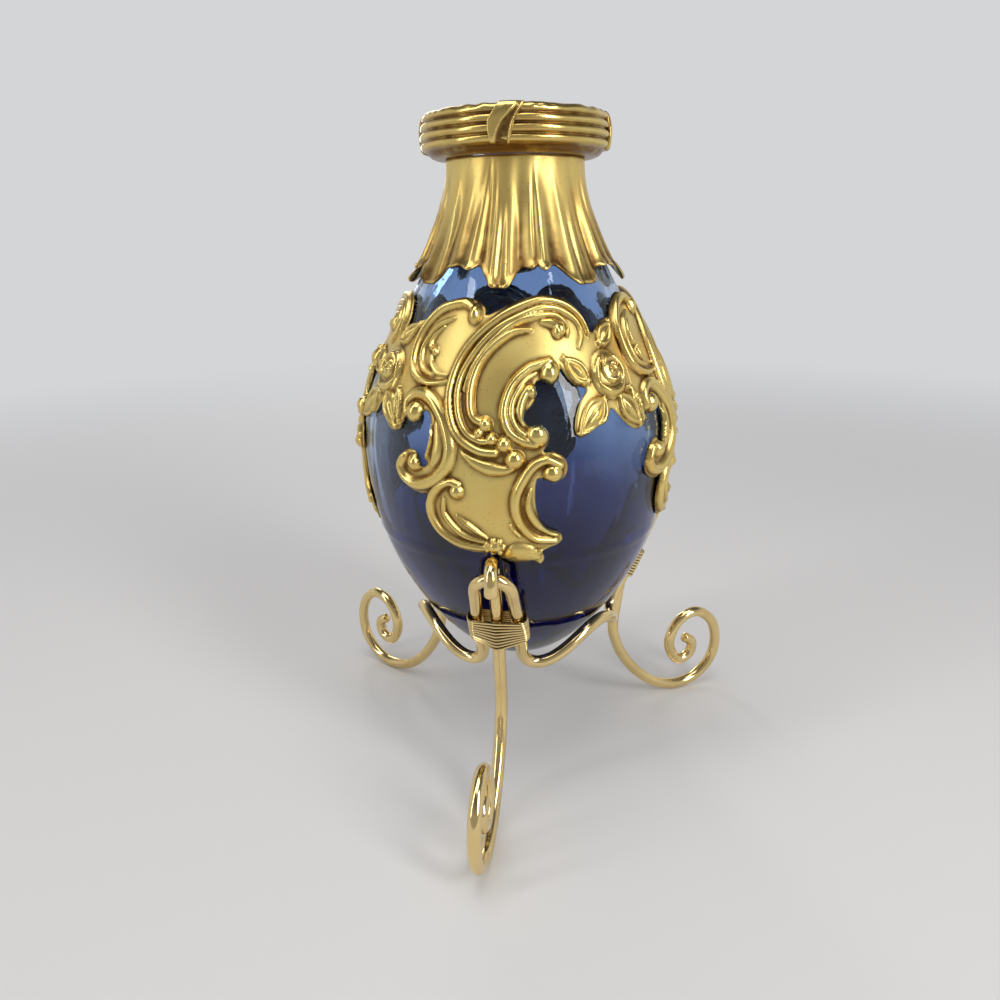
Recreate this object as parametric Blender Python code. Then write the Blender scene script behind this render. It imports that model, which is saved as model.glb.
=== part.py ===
"""Egg-shaped cobalt glass vase with gilt mounts, resting in a three-legged wire stand.

Run in Blender 4.5: blender --background --python part.py
Metres, +Z up. The front leg points along -Y. The origin lies on the floor, under the middle of the
object's bounding box, so the vase's own axis stands a little behind it.
"""
import math

import bmesh
import bpy
import numpy as np
from mathutils import Vector
from mathutils.geometry import delaunay_2d_cdt

MM = 0.001
GAP = 0.0003                     # left between pieces that touch
MERGE = 0.00001

# Glass: heights are above the floor, radii from the vase's axis
BASE_Z = 0.0280
BASE_RADIUS = 0.0090
BELLY_Z = 0.0840
BELLY_RADIUS = 0.0373
NECK_Z = 0.1460
NECK_RADIUS = 0.0146
BOWL_FULLNESS = 0.735            # below the belly: 1 is a sine curve, less is fuller near the base
GLASS_WALL = 0.0026
GLASS_FLOOR = 0.0045
LIP_RADIUS = 0.0182
LIP_FLARE = 0.0036
LIP_HEIGHT = 0.0050
LIP_ROUNDING = 0.0010
MOUTH_RADIUS = 0.0132
GLASS_SIDES = 36
BOWL_ROWS = 9
SHOULDER_ROWS = 9
INNER_ROWS = 5
ROW_CROWDING = 1.5               # rows of the bowl lie closer together towards the base

# Gilt band round the lip
RIM_WALL = 0.0029                # from the lip to the reeds' crests
RIM_RADIUS = LIP_RADIUS + RIM_WALL
RIM_SKIN = 0.0008
RIM_INNER_TURN = 0.0024
REED_COUNT = 4
REED_DEPTH = 0.0007
REED_FLAT = 0.4                  # share of a reed's height that is its crest
RIM_SIDES = 36
RIBBON_COUNT = 4
RIBBON_LENGTH = 0.0100
RIBBON_HEIGHT = 0.0030
RIBBON_THICKNESS = 0.0016
RIBBON_SLANT = math.radians(24)
RIBBON_CUTS = 3

# Gilt collar, pleated and with a scalloped hem
COLLAR_SHEET = 0.0008
HEM_Z = 0.1262
HEM_LONG_DROP = 0.0054
HEM_SHORT_DROP = 0.0014
HEM_STANDOFF = 0.0005
COLLAR_TIPS = 8
COLUMNS_PER_TIP = 10
COLLAR_ROWS = 3
PLEAT_DEPTH = 0.0011
PLEAT_AT_TOP = 0.25              # share of the pleats' depth that is left at the neck
COLLAR_LEAN = 0.5                # radius for each height, where the glass under the collar leans

# Gilt mounts round the belly, drawn on a flat pattern in millimetres
PANEL_COUNT = 4
PATTERN_RADIUS = 37.3            # of the belly on the pattern
PATTERN_BELLY = 84.0             # height of the belly's line on the pattern
PATTERN_SCALE = BELLY_RADIUS / PATTERN_RADIUS
PANEL_TURN = math.radians(8.3)   # from the front leg to the pattern's zero line
MOUNT_STANDOFF = 0.0004
MOUNT_PLATE = 0.0008
RIDGE_HEIGHT = 0.0010
RIDGE_HALF_WIDTH = 1.25          # on the pattern
RIDGE_STEP = 2.9
RIDGE_CURVE_STEPS = 6
FIELD_STEP = 5.2
ROW_SHARE = math.sqrt(3) / 2     # rows of an even triangular grid
FIELD_MARGIN = 2.8
EDGE_MARGIN = 0.75
POINT_MARGIN = 1.1

# Wire stand
LEG_COUNT = 3
WIRE_RADIUS = 0.0015
WIRE_RESOLUTION = 2
WIRE_CURVE_STEPS = 2             # from each point of a wire's line to the next
ARCH_STEPS = 4
CRADLE_STEP = 0.0026             # between points of the ring's line
CRADLE_FINE_STEP = 0.0010
CRADLE_EASING = 8                # passes that ease the ring's bends under the bowl
ARC_STEPS = 8
ARCH_TOP_Z = 0.0629
ARCH_HALF_WIDTH = 0.00465
BINDING_Z = 0.0480
SEAT_Z = 0.0415                  # where the glass lies on the cradle, midway between two legs
DIP_Z = 0.0332
DIP_BEND = 0.0030
LEG_FORWARD = 0.0018             # leg wire in front of the arch's two uprights, at the binding
HOOK_TAIL = 0.0028
FOOT_RADIUS = 0.0515

# Thin wire bindings
BINDING_WIRE_RADIUS = 0.0003
BINDING_PITCH = 0.00107
BINDING_LOOPS = 6
POINTS_PER_LOOP = 16
BINDING_SPARE = 0.0007           # between the binding and the glass, besides the usual gap

# Millimetres on the flat pattern: distance round, height
PANEL_EDGE = [
    (20.4, 109.7), (21.0, 111.8), (19.8, 114.6), (16.8, 117.0), (12.5, 118.3), (7.5, 118.6),
    (2.5, 118.0), (-2.5, 116.7), (-6.4, 115.4), (-8.7, 114.9), (-9.3, 116.3), (-11.8, 117.4),
    (-15.0, 118.1), (-19.0, 118.0), (-23.0, 117.0), (-26.5, 115.0), (-28.6, 112.6), (-29.6, 109.5),
    (-29.8, 106.0), (-29.2, 102.8), (-28.2, 100.3), (-27.9, 98.0), (-27.8, 95.5), (-26.3, 93.9),
    (-23.8, 93.2), (-21.9, 94.0), (-21.1, 95.9), (-19.6, 95.2), (-19.0, 92.5), (-19.3, 89.5),
    (-20.1, 86.7), (-19.5, 85.3), (-20.8, 84.5), (-21.3, 86.0), (-22.2, 87.3), (-23.8, 87.9),
    (-25.8, 87.2), (-27.3, 85.5), (-27.9, 83.2), (-27.2, 80.8), (-25.0, 79.2), (-22.0, 78.5),
    (-19.9, 78.6), (-20.5, 76.5), (-20.4, 73.5), (-19.0, 70.6), (-16.6, 68.2), (-14.2, 66.9),
    (-11.0, 66.2), (-8.0, 66.0), (-5.5, 66.2), (-3.5, 65.3), (-1.5, 64.2), (1.0, 64.0),
    (3.6, 64.2), (5.2, 63.3), (6.1, 64.8), (5.6, 66.6), (7.0, 67.3), (8.8, 68.0), (9.9, 69.3),
    (9.0, 71.0), (6.8, 72.0), (4.9, 74.0), (3.9, 77.0), (3.7, 80.5), (4.1, 83.2), (5.6, 82.9),
    (7.4, 82.2), (9.4, 82.9), (10.4, 85.0), (9.8, 87.2), (7.8, 88.5), (5.5, 88.8), (6.6, 90.6),
    (6.5, 92.5), (5.0, 94.0), (2.8, 93.9), (1.5, 94.8), (1.8, 96.4), (3.4, 98.0), (4.4, 99.8),
    (4.2, 101.6), (5.3, 102.4), (7.8, 101.4), (9.7, 102.4), (10.2, 104.0), (10.1, 106.0),
    (11.0, 107.9), (13.5, 108.3), (17.0, 108.0), (19.0, 108.5),
]
PANEL_RIDGES = [
    [(19.2, 110.4), (18.4, 113.6), (14.6, 116.2), (8.0, 117.2), (1.0, 116.0), (-6.0, 113.4),
     (-11.6, 109.6), (-14.6, 104.5), (-15.3, 99.5), (-14.0, 94.6), (-11.2, 91.2), (-6.5, 89.4),
     (-2.6, 90.4)],
    [(10.6, 111.6), (9.5, 113.8), (4.0, 113.0), (-3.0, 110.9), (-7.8, 107.2), (-10.2, 102.3),
     (-10.2, 97.5), (-7.2, 94.4)],
    [(-23.7, 95.5), (-26.2, 96.4), (-24.0, 98.6), (-20.3, 98.6), (-17.6, 96.4), (-16.3, 92.0),
     (-15.8, 87.8), (-17.0, 83.8), (-20.4, 81.3), (-24.0, 81.2), (-26.2, 83.6), (-25.2, 85.9),
     (-22.9, 86.0)],
    [(-11.2, 115.9), (-17.0, 116.6), (-22.5, 115.4), (-26.4, 112.3), (-28.0, 108.0),
     (-27.2, 104.0), (-24.0, 101.9), (-19.5, 102.2)],
    [(-20.6, 112.6), (-23.2, 109.8), (-22.6, 106.6), (-20.3, 105.0)],
    [(8.0, 103.5), (7.0, 105.5), (3.6, 104.8), (0.2, 102.6), (-2.0, 99.4), (-2.6, 95.6),
     (-0.8, 92.2), (2.3, 91.0), (4.7, 91.9)],
    [(7.3, 84.2), (8.4, 86.2), (5.6, 87.0), (2.6, 85.2), (0.8, 81.2), (0.3, 77.0), (1.3, 73.2),
     (4.0, 70.2), (7.8, 69.4)],
    [(-11.3, 80.6), (-14.0, 81.6), (-17.0, 79.6), (-18.7, 76.4), (-18.1, 72.4), (-15.2, 69.4),
     (-10.5, 67.8), (-6.0, 68.0)],
    [(-15.0, 77.0), (-14.6, 74.0), (-11.8, 71.6), (-7.8, 70.4)],
    [(-10.4, 87.0), (-7.0, 85.8), (-3.2, 85.3), (-0.8, 87.2)],
    [(-1.0, 66.6), (1.6, 67.2), (4.0, 66.2)],
]
SPRAY_EDGE = [
    (10.9, 104.4), (11.8, 102.6), (13.4, 101.1), (16.0, 100.2), (14.0, 97.8), (12.7, 95.2),
    (12.2, 92.6), (12.9, 91.1), (14.8, 91.3), (17.5, 92.7), (20.0, 93.5), (21.7, 95.9),
    (23.2, 94.6), (24.9, 92.8), (27.3, 91.6), (29.4, 91.2), (30.2, 93.0), (30.3, 95.5),
    (30.2, 98.0), (29.6, 100.0), (28.5, 102.8), (28.1, 106.0), (28.2, 109.4), (29.2, 112.8),
    (27.2, 112.9), (24.4, 112.2), (21.8, 110.4), (21.2, 108.7), (19.3, 107.7), (17.0, 107.2),
    (13.5, 107.5), (11.5, 106.9),
]
SPRAY_RIDGES = [
    [(12.2, 105.4), (13.8, 103.4), (15.8, 102.2)],
    [(13.7, 92.6), (16.0, 95.0), (18.0, 97.0)],
    [(28.8, 92.6), (26.8, 94.4), (25.2, 96.6)],
    [(28.9, 98.4), (29.0, 95.4)],
    [(23.2, 109.9), (25.6, 111.0), (27.6, 111.8)],
]
ROSE_CENTRE = (22.6, 102.6)
ROSE_RADIUS = 3.3
ROSE_SQUASH = 0.9                # height of the rose for its width
ROSE_EYE_OFFSET = (1.2, 0.6)
ROSE_HEIGHT = 0.0016
ROSE_EYE_HEIGHT = 0.0012
ROSE_POINTS = 10

# Millimetres from where the wire meets the floor: outward, up
FOOT_SCROLL = [
    (-22.6, 24.5), (-21.4, 18.0), (-18.4, 12.2), (-13.8, 6.6), (-7.6, 1.9), (0.0, 0.0),
    (6.4, 1.6), (10.9, 6.0), (12.4, 12.0), (10.6, 18.6), (5.6, 22.6), (0.4, 21.6), (-3.0, 17.4),
    (-3.4, 12.4), (-0.4, 8.2), (3.4, 9.4), (4.0, 13.0), (1.0, 15.2),
]

COBALT_GLASS = ("cobalt_glass", (0.02, 0.05, 0.24), 0.05, 0.0)
GILT_METAL = ("gilt_metal", (0.76, 0.56, 0.20), 0.25, 1.0)
BRASS_WIRE = ("brass_wire", (0.82, 0.72, 0.42), 0.18, 1.0)


def clear_scene():
    for existing in list(bpy.data.objects):
        bpy.data.objects.remove(existing, do_unlink=True)


def material(look):
    name, colour, roughness, metallic = look
    made = bpy.data.materials.get(name)
    if made is None:
        made = bpy.data.materials.new(name)
        made.use_nodes = True
        shader = made.node_tree.nodes["Principled BSDF"]
        shader.inputs["Base Color"].default_value = (*colour, 1.0)
        shader.inputs["Roughness"].default_value = roughness
        shader.inputs["Metallic"].default_value = metallic
    return made


def empty(name, parent=None):
    made = bpy.data.objects.new(name, None)
    bpy.context.collection.objects.link(made)
    made.parent = parent
    return made


def add_object(name, data, look, parent):
    data.materials.append(material(look))
    made = bpy.data.objects.new(name, data)
    bpy.context.collection.objects.link(made)
    made.parent = parent
    return made


def mesh_from(bm, name, smooth_angle=math.radians(35)):
    bmesh.ops.recalc_face_normals(bm, faces=bm.faces)
    mesh = bpy.data.meshes.new(name)
    bm.to_mesh(mesh)
    bm.free()
    mesh.shade_smooth()
    mesh.set_sharp_from_angle(angle=smooth_angle)
    return mesh


def curve_through(points, steps, closed=False):
    """Points of a smooth curve through the given ones, with so many steps from each to the next."""
    keys = [np.array(point, dtype=float) for point in points]
    last = len(keys) - 1
    curve = []
    for start in range(last + 1 if closed else last):
        around = [start - 1, start, start + 1, start + 2]
        if closed:
            before, here, there, after = (keys[index % (last + 1)] for index in around)
        else:
            before, here, there, after = (keys[min(max(index, 0), last)] for index in around)
        for step in range(steps):
            t = step / steps
            linear = (there - before) * t
            square = (2 * before - 5 * here + 4 * there - after) * t ** 2
            cube = (3 * here - before - 3 * there + after) * t ** 3
            curve.append((2 * here + linear + square + cube) / 2)
    if not closed:
        curve.append(keys[-1])
    return curve


def evenly_spaced(points, spacing):
    """The same open line again, with points about so far apart."""
    points = np.array(points)
    lengths = np.linalg.norm(np.diff(points, axis=0), axis=1)
    travelled = np.concatenate([[0.0], np.cumsum(lengths)])
    count = max(int(round(travelled[-1] / spacing)), 1)
    wanted = np.linspace(0.0, travelled[-1], count + 1)
    columns = [np.interp(wanted, travelled, points[:, axis]) for axis in range(points.shape[1])]
    return np.stack(columns, axis=1)


def glass_radius(height):
    """Outer radius of the glass at a height above the floor, from its base to its neck."""
    if height <= BELLY_Z:
        share = max(height - BASE_Z, 0.0) / (BELLY_Z - BASE_Z)
        swell = math.sin(math.pi / 2 * share ** BOWL_FULLNESS)
        return BASE_RADIUS + (BELLY_RADIUS - BASE_RADIUS) * swell
    share = min((height - BELLY_Z) / (NECK_Z - BELLY_Z), 1.0)
    return NECK_RADIUS + (BELLY_RADIUS - NECK_RADIUS) * (1 + math.cos(math.pi * share)) / 2


def beside_glass(height, distance):
    """Radius and height of the point so far outside the glass, square to its surface there."""
    reach = 0.0002
    rise = glass_radius(height + reach) - glass_radius(height - reach)
    slope = rise / (2 * reach)
    length = math.hypot(1.0, slope)
    return glass_radius(height) + distance / length, height - distance * slope / length


def turned(profile, sides):
    """Mesh of an outline of radii and heights, turned round the vase's axis."""
    bm = bmesh.new()
    verts = [bm.verts.new((radius, 0.0, height)) for radius, height in profile]
    edges = [bm.edges.new(pair) for pair in zip(verts, verts[1:])]
    if profile[0][0] > 0:
        edges.append(bm.edges.new((verts[-1], verts[0])))
    bmesh.ops.spin(bm, geom=verts + edges, cent=(0, 0, 0), axis=(0, 0, 1), angle=2 * math.pi,
                   steps=sides, use_merge=True)
    bmesh.ops.remove_doubles(bm, verts=bm.verts, dist=MERGE)
    return bm


def wire(name, points, radius, resolution, look, parent, closed=False):
    """Round wire along a line of points."""
    curve = bpy.data.curves.new(name, "CURVE")
    curve.dimensions = "3D"
    curve.bevel_depth = radius
    curve.bevel_resolution = resolution
    curve.use_fill_caps = not closed
    spline = curve.splines.new("POLY")
    spline.points.add(len(points) - 1)
    for target, point in zip(spline.points, points):
        target.co = (*point, 1.0)
    spline.use_cyclic_u = closed
    spline.use_smooth = True
    return add_object(name, curve, look, parent)


# Glass

def lip_top_z():
    return NECK_Z + LIP_FLARE + LIP_HEIGHT


def make_glass(parent):
    """Egg-shaped bottle: a small flat base, a wide belly, and a lip that flares under the band."""
    outside = [(0.0, BASE_Z)]
    for row in range(BOWL_ROWS):
        height = BASE_Z + (BELLY_Z - BASE_Z) * (row / BOWL_ROWS) ** ROW_CROWDING
        outside.append((glass_radius(height), height))
    for row in range(SHOULDER_ROWS + 1):
        height = BELLY_Z + (NECK_Z - BELLY_Z) * row / SHOULDER_ROWS
        outside.append((glass_radius(height), height))
    top = lip_top_z()
    lip = [(LIP_RADIUS, NECK_Z + LIP_FLARE), (LIP_RADIUS, top - LIP_ROUNDING),
           (LIP_RADIUS - LIP_ROUNDING, top), (MOUTH_RADIUS + LIP_ROUNDING, top),
           (MOUTH_RADIUS, top - LIP_ROUNDING)]
    inside = []
    floor_z = BASE_Z + GLASS_FLOOR
    for row in range(INNER_ROWS + 1):
        height = NECK_Z - (NECK_Z - BELLY_Z) * row / INNER_ROWS
        inside.append(beside_glass(height, -GLASS_WALL))
    for row in range(1, INNER_ROWS):
        height = BASE_Z + (BELLY_Z - BASE_Z) * (1 - row / INNER_ROWS) ** ROW_CROWDING
        point = beside_glass(height, -GLASS_WALL)
        if point[1] > floor_z + GLASS_WALL / 2:
            inside.append(point)
    inside.append((inside[-1][0] - GLASS_WALL, floor_z))
    inside.append((0.0, floor_z))
    bm = turned(outside + lip + inside, GLASS_SIDES)
    return add_object("glass_vase", mesh_from(bm, "glass_vase"), COBALT_GLASS, parent)


# Gilt band round the lip

def make_rim(parent):
    """Band with horizontal reeds, turned in over the lip, with slanting ribbons across the reeds."""
    bottom = NECK_Z + 2 * GAP
    top = lip_top_z() + GAP + RIM_SKIN
    reed = (top - bottom) / REED_COUNT
    profile = [(NECK_RADIUS + 2 * GAP, bottom)]
    for index in range(REED_COUNT):
        start = bottom + index * reed
        profile.append((RIM_RADIUS - REED_DEPTH, start))
        profile.append((RIM_RADIUS, start + reed * (1 - REED_FLAT) / 2))
        profile.append((RIM_RADIUS, start + reed * (1 + REED_FLAT) / 2))
    profile.append((RIM_RADIUS - REED_DEPTH, top))
    profile.append((LIP_RADIUS - RIM_INNER_TURN, top))
    profile.append((LIP_RADIUS - RIM_INNER_TURN, top - RIM_SKIN))
    profile.append((LIP_RADIUS + GAP, top - RIM_SKIN))
    profile.append((LIP_RADIUS + GAP, NECK_Z + LIP_FLARE))
    band = add_object("rim_band", mesh_from(turned(profile, RIM_SIDES), "rim_band"), GILT_METAL, parent)
    ribbons = bmesh.new()
    for index in range(RIBBON_COUNT):
        azimuth = -math.pi / 2 + 2 * math.pi * index / RIBBON_COUNT
        earlier = len(ribbons.verts)
        corners = bmesh.ops.create_cube(ribbons, size=1.0)["verts"]
        long_edges = [edge for edge in ribbons.edges if edge.verts[0] in corners
                      and abs(edge.verts[0].co.x - edge.verts[1].co.x) > 0.5]
        bmesh.ops.subdivide_edges(ribbons, edges=long_edges, cuts=RIBBON_CUTS, use_grid_fill=True)
        bar = list(ribbons.verts)[earlier:]
        bmesh.ops.scale(ribbons, verts=bar, vec=(RIBBON_LENGTH, RIBBON_THICKNESS, RIBBON_HEIGHT))
        for vert in bar:
            along, out, up = vert.co
            slanted = up + along * math.tan(RIBBON_SLANT)
            radius = RIM_RADIUS - REED_DEPTH / 2 + out
            turn = azimuth + along / RIM_RADIUS
            vert.co = (radius * math.cos(turn), radius * math.sin(turn), (bottom + top) / 2 + slanted)
    guide = add_object("rim_ribbon_guide", mesh_from(ribbons, "rim_ribbon_guide"), GILT_METAL, parent)
    guide.hide_render = True
    guide.display_type = "WIRE"
    union = band.modifiers.new("ribbons", "BOOLEAN")
    union.operation = "UNION"
    union.object = guide
    return band


# Gilt collar

def pleat(turn):
    """Height of the pleats, 0 to 1, at a share of a full turn: one for each long and short tip."""
    return 0.5 + 0.5 * math.cos(4 * math.pi * COLLAR_TIPS * turn)


def hem_drop(turn):
    long_share = (0.5 + 0.5 * math.cos(2 * math.pi * COLLAR_TIPS * turn)) ** 2
    return (HEM_SHORT_DROP + (HEM_LONG_DROP - HEM_SHORT_DROP) * long_share) * math.sqrt(pleat(turn))


def make_collar(parent):
    """Thin pleated sleeve round the neck, wider and free of the glass at its scalloped hem."""
    columns = COLLAR_TIPS * COLUMNS_PER_TIP
    top = NECK_Z - GAP
    bm = bmesh.new()
    bmesh.ops.create_grid(bm, x_segments=columns, y_segments=COLLAR_ROWS, size=0.5)
    for vert in bm.verts:
        turn = vert.co.x + 0.5
        fall = 0.5 - vert.co.y
        hem = HEM_Z - hem_drop(turn)
        height = top + (hem - top) * fall
        clear = GAP + COLLAR_SHEET + HEM_STANDOFF * fall
        lift = clear + PLEAT_DEPTH * pleat(turn) * (PLEAT_AT_TOP + (1 - PLEAT_AT_TOP) * fall)
        radius = glass_radius(height) + lift * math.hypot(1.0, COLLAR_LEAN)
        azimuth = -math.pi / 2 + 2 * math.pi * turn
        vert.co = (radius * math.cos(azimuth), radius * math.sin(azimuth), height)
    bmesh.ops.remove_doubles(bm, verts=bm.verts, dist=MERGE)
    collar = add_object("neck_collar", mesh_from(bm, "neck_collar"), GILT_METAL, parent)
    sheet = collar.modifiers.new("sheet", "SOLIDIFY")
    sheet.thickness = COLLAR_SHEET
    sheet.offset = -1.0
    return collar


# Gilt mounts round the belly

def on_glass(point, height_out, panel):
    """Place in space of a point on the flat pattern, so far out from the glass."""
    azimuth = -math.pi / 2 + PANEL_TURN + point[0] / PATTERN_RADIUS + 2 * math.pi * panel / PANEL_COUNT
    radius, height = beside_glass(BELLY_Z + (point[1] - PATTERN_BELLY) * PATTERN_SCALE, height_out)
    return radius * math.cos(azimuth), radius * math.sin(azimuth), height


def distance_to_line(point, line):
    """Least distance from a point to a line of points, all on the flat pattern."""
    starts = line[:-1]
    spans = line[1:] - starts
    shares = ((point - starts) * spans).sum(axis=1) / (spans ** 2).sum(axis=1)
    nearest = starts + spans * np.clip(shares, 0.0, 1.0)[:, None]
    return np.linalg.norm(point - nearest, axis=1).min()


def inside_edge(point, edge):
    """True inside the closed edge, at least the margin away from it."""
    closed = np.vstack([edge, edge[:1]])
    x, y = point
    crossings = 0
    for (x0, y0), (x1, y1) in zip(closed[:-1], closed[1:]):
        if (y0 > y) != (y1 > y) and x < x0 + (y - y0) / (y1 - y0) * (x1 - x0):
            crossings += 1
    return crossings % 2 == 1 and distance_to_line(point, closed) > EDGE_MARGIN


def pattern_points(edge, lines):
    """Points for the front of a mount: its edge, its ridge lines, their feet and the plain field.

    Returns the points, their heights above the plate, and the ridges' edges as pairs of indices.
    """
    points = [np.array(point) for point in edge]
    heights = [0.0] * len(points)
    pairs = []
    feet = []
    for line, height in lines:
        along = np.gradient(line, axis=0)
        across = np.stack([-along[:, 1], along[:, 0]], axis=1)
        across = across / np.linalg.norm(across, axis=1)[:, None]
        previous = None
        for place, side in zip(line, across):
            if not inside_edge(place, edge):
                previous = None
                continue
            points.append(place)
            heights.append(height)
            if previous is not None:
                pairs.append((previous, len(points) - 1))
            previous = len(points) - 1
            feet += [place + side * RIDGE_HALF_WIDTH, place - side * RIDGE_HALF_WIDTH]
    low = np.min(edge, axis=0)
    high = np.max(edge, axis=0)
    field = []
    for row, y in enumerate(np.arange(low[1], high[1], FIELD_STEP * ROW_SHARE)):
        for x in np.arange(low[0] + (row % 2) * FIELD_STEP / 2, high[0], FIELD_STEP):
            field.append(np.array([x, y]))
    for group, margin in ((feet, POINT_MARGIN), (field, FIELD_MARGIN)):
        for place in group:
            if not inside_edge(place, edge):
                continue
            if np.linalg.norm(np.array(points) - place, axis=1).min() > margin:
                points.append(place)
                heights.append(0.0)
    return points, heights, pairs


def back_points(edge):
    """Points for the back of a mount: its edge and an even field that follows the glass."""
    points, _, _ = pattern_points(edge, [])
    return points


def add_side(bm, points, edge_count, pairs, heights, panel):
    """Triangles over the points inside the edge; returns the vertices along the edge."""
    flat = [Vector(point) for point in points]
    ring = list(range(edge_count))
    places, _, faces, origins, _, _ = delaunay_2d_cdt(flat, pairs, [ring], 1, MERGE)
    verts = []
    edge_verts = [None] * edge_count
    for place, sources in zip(places, origins):
        height = max([heights[source] for source in sources], default=heights[-1])
        vert = bm.verts.new(on_glass(place, height, panel))
        verts.append(vert)
        for source in sources:
            if source < edge_count:
                edge_verts[source] = vert
    for face in faces:
        bm.faces.new([verts[index] for index in face])
    return edge_verts


def make_mount(name, edge, lines, panel, parent):
    """Stamped gilt plate with raised ridges, curved to lie against the glass."""
    edge = np.array(edge)
    points, heights, pairs = pattern_points(edge, lines)
    front_heights = [MOUNT_STANDOFF + MOUNT_PLATE + height for height in heights]
    bm = bmesh.new()
    front = add_side(bm, points, len(edge), pairs, front_heights, panel)
    flat_back = back_points(edge)
    back = add_side(bm, flat_back, len(edge), [], [MOUNT_STANDOFF] * len(flat_back), panel)
    for index in range(len(edge)):
        after = (index + 1) % len(edge)
        bm.faces.new([front[index], front[after], back[after], back[index]])
    return add_object(name, mesh_from(bm, name), GILT_METAL, parent)


def ridge_lines(ridges):
    curves = [curve_through(ridge, RIDGE_CURVE_STEPS) for ridge in ridges]
    return [(evenly_spaced(curve, RIDGE_STEP), RIDGE_HEIGHT) for curve in curves]


def rose_ring():
    centre = np.array(ROSE_CENTRE)
    turns = np.linspace(0.0, 2 * math.pi, ROSE_POINTS + 1)
    return centre + ROSE_RADIUS * np.stack([np.cos(turns), np.sin(turns) * ROSE_SQUASH], axis=1)


def make_mounts(parent):
    panel_lines = ridge_lines(PANEL_RIDGES)
    spray_lines = ridge_lines(SPRAY_RIDGES)
    spray_lines.append((rose_ring()[:-1], ROSE_HEIGHT))
    eye = np.array([ROSE_CENTRE, np.add(ROSE_CENTRE, ROSE_EYE_OFFSET)])
    spray_lines.append((eye, ROSE_EYE_HEIGHT))
    for panel in range(PANEL_COUNT):
        make_mount(f"rocaille_panel_{panel + 1}", PANEL_EDGE, panel_lines, panel, parent)
        make_mount(f"rose_spray_{panel + 1}", SPRAY_EDGE, spray_lines, panel, parent)


# Wire stand

def standing(points, azimuth):
    """Points given outward, sideways and up, turned to a leg's direction."""
    c, s = math.cos(azimuth), math.sin(azimuth)
    return [(out * c - side * s, out * s + side * c, up) for out, side, up in points]


def leg_azimuths():
    return [-math.pi / 2 + 2 * math.pi * leg / LEG_COUNT for leg in range(LEG_COUNT)]


def arch_top():
    """Outward and up: the hook's wire passes between the arch and the glass."""
    return beside_glass(ARCH_TOP_Z, 3 * WIRE_RADIUS + 2 * GAP)


def arch_foot():
    """Outward and up, at the middle of the binding."""
    return beside_glass(BINDING_Z, WIRE_RADIUS + 2 * BINDING_WIRE_RADIUS + 2 * GAP + BINDING_SPARE)


def arch_lean():
    """Unit direction, outward and up, of the arch's uprights."""
    (top_out, top_up), (foot_out, foot_up) = arch_top(), arch_foot()
    length = math.hypot(top_out - foot_out, top_up - foot_up)
    return (top_out - foot_out) / length, (top_up - foot_up) / length


def eased(points, passes):
    """An open line with its bends made gentler and its ends kept."""
    points = np.array(points)
    for _ in range(passes):
        points[1:-1] = (points[:-2] + 2 * points[1:-1] + points[2:]) / 4
    return points


def cradle_stretches():
    """Outward, sideways and up: the arch over a leg, and half of the dip and seat beside it."""
    lean_out, lean_up = arch_lean()
    foot_out, foot_up = arch_foot()
    top_out, top_up = arch_top()
    straight = math.hypot(top_out - foot_out, top_up - foot_up) - ARCH_HALF_WIDTH
    below = (foot_up - DIP_Z) / lean_up

    def upright(distance, side):
        return foot_out + lean_out * distance, side, foot_up + lean_up * distance

    arch = [upright(0.0, -ARCH_HALF_WIDTH)]
    for bend in np.linspace(0.0, math.pi, 2 * ARC_STEPS + 1):
        arch.append(upright(straight + ARCH_HALF_WIDTH * math.sin(bend), -ARCH_HALF_WIDTH * math.cos(bend)))
    arch.append(upright(0.0, ARCH_HALF_WIDTH))
    dip = [upright(0.0, ARCH_HALF_WIDTH)]
    for bend in np.linspace(0.0, math.pi / 2, ARC_STEPS + 1):
        side = ARCH_HALF_WIDTH + DIP_BEND * (1 - math.cos(bend))
        dip.append(upright(DIP_BEND * (1 - math.sin(bend)) - below, side))
    dip_out = math.hypot(dip[-1][0], dip[-1][1])
    dip_turn = math.atan2(dip[-1][1], dip[-1][0])
    seat_out, seat_up = beside_glass(SEAT_Z, WIRE_RADIUS + GAP)
    for share in np.linspace(0.0, 1.0, ARC_STEPS + 1)[1:]:
        risen = (1 - math.cos(math.pi * share)) / 2
        out = dip_out + (seat_out - dip_out) * risen
        turn = dip_turn + (math.pi / LEG_COUNT - dip_turn) * share
        dip.append((out * math.cos(turn), out * math.sin(turn), DIP_Z + (seat_up - DIP_Z) * risen))
    return arch, dip


def make_cradle(parent):
    """One closed ring of wire: an arch at each leg, dipping under its binding, then a seat."""
    arch, dip = cradle_stretches()
    mirrored = [(out, -side, up) for out, side, up in reversed(dip)]
    line = []
    for azimuth in leg_azimuths():
        span = standing(dip, azimuth) + standing(mirrored, azimuth + 2 * math.pi / LEG_COUNT)[1:]
        span = eased(evenly_spaced(span, CRADLE_FINE_STEP), CRADLE_EASING)
        line += list(evenly_spaced(standing(arch, azimuth), CRADLE_STEP)[:-1])
        line += list(evenly_spaced(span, CRADLE_STEP)[:-1])
    return wire("cradle_wire", line, WIRE_RADIUS, WIRE_RESOLUTION, BRASS_WIRE, parent, closed=True)


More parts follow.
